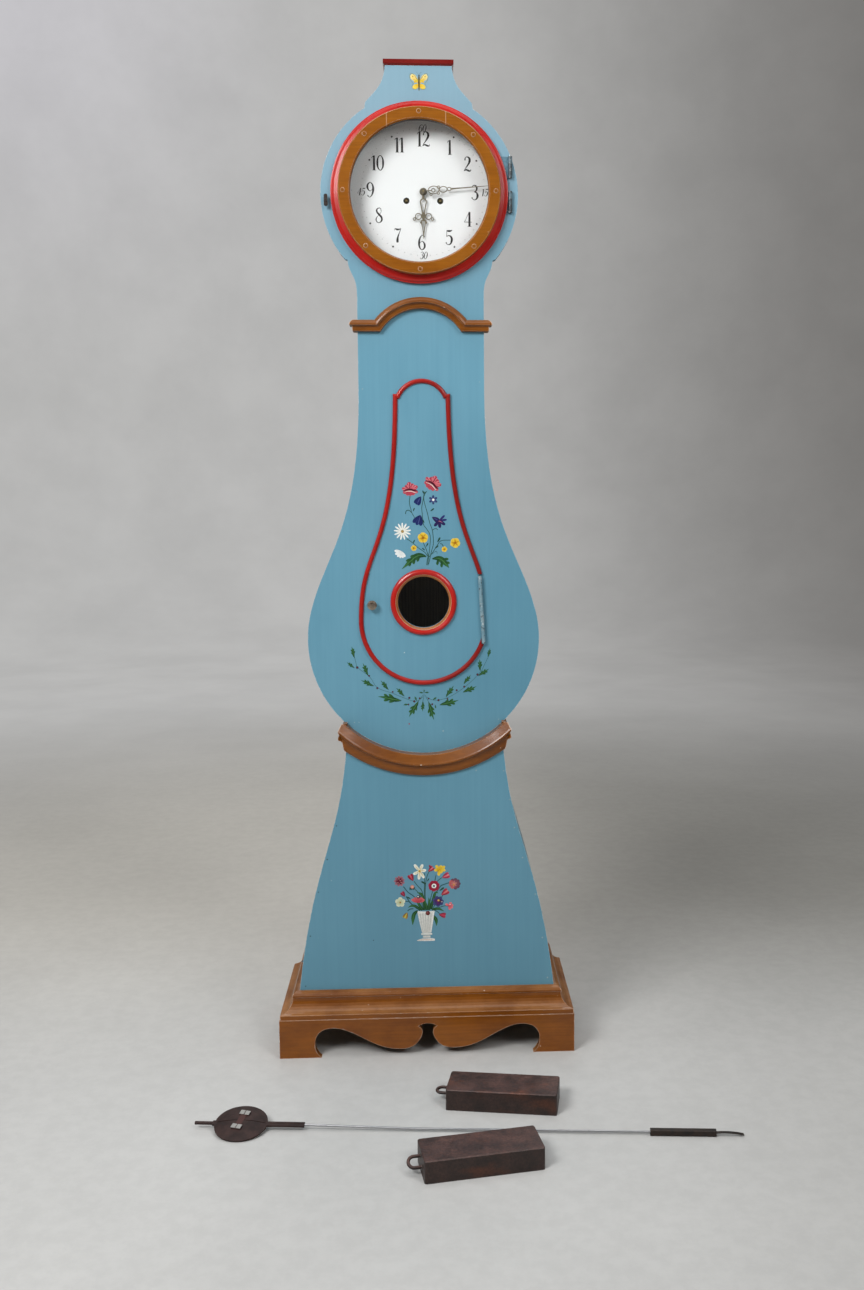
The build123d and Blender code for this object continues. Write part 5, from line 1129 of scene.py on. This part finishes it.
garland_z = 0.85
set_out("garland_leaves", cut_leaf(), [
    (-155, 50, 1.05, 102), (-155, 27, 0.85, 142), (-125, 10, 1.2, 112), (-113, -14, 1.25, 154),
    (-80, -23, 1.1, 129), (-45, -38, 1.05, 133), (-52, -48, 2.1, 168), (-14, -50, 1.65, -122),
    (-4, -50, 0.95, -92), (9, -52, 1.7, -75), (34, -59, 1.75, 13), (48, -41, 1.25, 55), (86, -31, 1.35, 23),
    (88, -12, 1.05, 52), (121, 6, 1.15, 33), (125, 17, 1.1, 92), (143, 48, 0.85, 78), (-2, -31, 0.45, 172),
    (0, -31, 0.45, 8), (-1, -31, 0.35, 88), (-17, -49, 0.5, 118), (-36, -56, 0.5, 190), (18, -48, 0.5, 38),
    (23, -58, 0.4, -76)], board_face_y, garland_z, 0.95)
set_out("garland_berries", round_touch("garland_berry", (0.13, 0.028, 0.035), (0.035, 0.012, 0.018)), [
    (-149, 28, 1.5), (-123, 9, 1.1), (-105, -19, 1.3), (-71, -28, 1.1), (-34, -42, 1.3), (-23, -50, 1.4),
    (-11, -43, 1), (31, -48, 1.3), (17, -57, 1.2), (72, -26, 1.2), (89, -18, 1.2), (119, 9, 1.4),
    (51, -45, 1), (-36, -57, 1), (9, -44, 1)], board_face_y, garland_z)
sprigs = Painting("garland_stems", 0.0, board_face_y, garland_z)
stems(sprigs, ((-150, 28), (-122, 7), (-105, -18), (-74, -30), (-43, -43), (-20, -50), (-3, -40)),
      ((-155, 52), (-152, 40), (-150, 28)), ((117, 5), (89, -20), (53, -42), (22, -48), (4, -40)),
      ((143, 48), (136, 34), (129, 20), (119, 6)), ((-14, -50), (-8, -42), (-3, -36)),
      ((9, -52), (5, -44), (1, -36)), ((-4, -50), (-2, -42), (-1, -34)), width=0.8, shade=(0.03, 0.1, 0.07))
sprigs.dot(-35, -101, 1.5, (0.35, 0.02, 0.03))
sprigs.hang("case")


# ---------------------------------------------------------------- the nails
# Cut nails hold the boards to the sides of the base. Their heads were filled and painted over, and
# the filling shows as pale spots, or as dark ones where it has dropped out.
nails_z = 0.64
set_out("filled_nails", round_touch("nail_head", (0.4, 0.5, 0.52), (0.16, 0.28, 0.33)), [
    (114, 4, 1), (176, 2, 0.9), (190, -64, 1), (200, -129, 1.1), (218, -199, 1), (247, -285, 1),
    (262, -327, 0.8), (263, -387, 1.1), (275, -482, 1.2)], panel_face_y, nails_z)
set_out("open_nails", round_touch("nail_head", (0.03, 0.045, 0.05), (0.09, 0.2, 0.25)), [
    (-200, -118, 0.9), (-222, -195, 1), (-243, -270, 0.9), (-263, -372, 1), (-282, -430, 0.9),
    (-276, -489, 1), (-121, -385, 0.8)], panel_face_y, nails_z)
set_out("board_nails", round_touch("nail_head", (0.42, 0.54, 0.57), (0.18, 0.32, 0.38)), [
    (-157, -96, 0.8), (-147, -96, 0.7), (41, -118, 1), (166, -93, 0.8), (-125, 780, 0.8), (125, 782, 0.8),
    (-128, 640, 0.8), (127, 655, 0.7)], board_face_y, garland_z)


# ---------------------------------------------------------------- the weights
# Two cast iron blocks with a bent wire loop in the end. They are brown with old rust, darker in
# patches, and rubbed bright along the edges where they have knocked together.
def rusty_iron():
    material, at = finish("rusty cast iron")
    clouds = at.cloud(24, 6, 0.68)
    pits = at.cloud(210, 5, 0.7)
    patches = at.stretched(9, 9, 20).cloud(1.0, 4, 0.6)
    shade = clouds.rise(0.3, 0.7).between((0.03, 0.019, 0.017), (0.085, 0.047, 0.04))
    shade = patches.rise(0.55, 0.75).between(shade, (0.14, 0.05, 0.026))
    shade = shade.times(pits.rise(0.3, 0.7).between((0.7, 0.7, 0.72), (1.2, 1.17, 1.15)))
    edge = edge_wear(at, 0.003, 0.02, 0.3)
    rubbed = (edge * (pits + 0.25)).rise(0.35, 0.7)
    # Painted light from above: faces that look up are lighter, and the sides darker.
    shade = shade.times(facing_up(at).between((0.5, 0.46, 0.42), (1.45, 1.35, 1.3)))
    shade = (rubbed * 0.8).between(shade, (0.4, 0.37, 0.35))
    height = pits * 0.6 + clouds
    surface(at, shade, clouds * 0.25 + 0.36, height.bumped(0.8, 0.0011), Metallic=rubbed * 0.5 + 0.15)
    return material


coat(rusty_iron(), "front_weight", "back_weight")


# ---------------------------------------------------------------- the pendulum
# An iron bob swelling to both faces is threaded on a flat bar, under a strap whose two pairs of
# ears are bright. A thin steel wire runs to the block and the spring that hang it.
bob_middle, bob_axis = (-0.373, -0.629, 0.0119), (-0.008, -0.1736, 0.9848)


def bob_iron():
    material, at = finish("bob iron")
    along = at.node("VectorMath", {"operation": "SUBTRACT"}, at, bob_middle)
    high = along.node("VectorMath", {"operation": "DOT_PRODUCT"}, along, bob_axis, out="Value")
    pits = at.cloud(180, 5, 0.7)
    clouds = at.cloud(40, 4, 0.6)
    shade = clouds.rise(0.3, 0.7).between((0.022, 0.013, 0.012), (0.048, 0.026, 0.023))
    strap_foot, ears_foot = 0.0090, 0.0104
    strap = high.rise(strap_foot, strap_foot + 0.0004)
    ears = (high + pits * 0.0008).rise(ears_foot, ears_foot + 0.0006)
    edge = edge_wear(at, 0.0015, 0.04, 0.3)
    shade = layered(shade, (strap, (0.07, 0.03, 0.027)), (edge * 0.12, (0.25, 0.16, 0.13)),
                    (ears, (0.38, 0.37, 0.35)))
    surface(at, shade, 0.6 - ears * 0.15, (pits + clouds).bumped(0.6, 0.0006), Metallic=ears * 0.5,
            Specular_IOR_Level=0.25)
    return material


coat(bob_iron(), "pendulum_bob", "pendulum_bar")
coat(worn_steel("drawn wire", (0.42, 0.42, 0.43), (0.2, 0.19, 0.18), -0.12), "pendulum_rod")
coat(black_iron(), "pendulum_suspension")
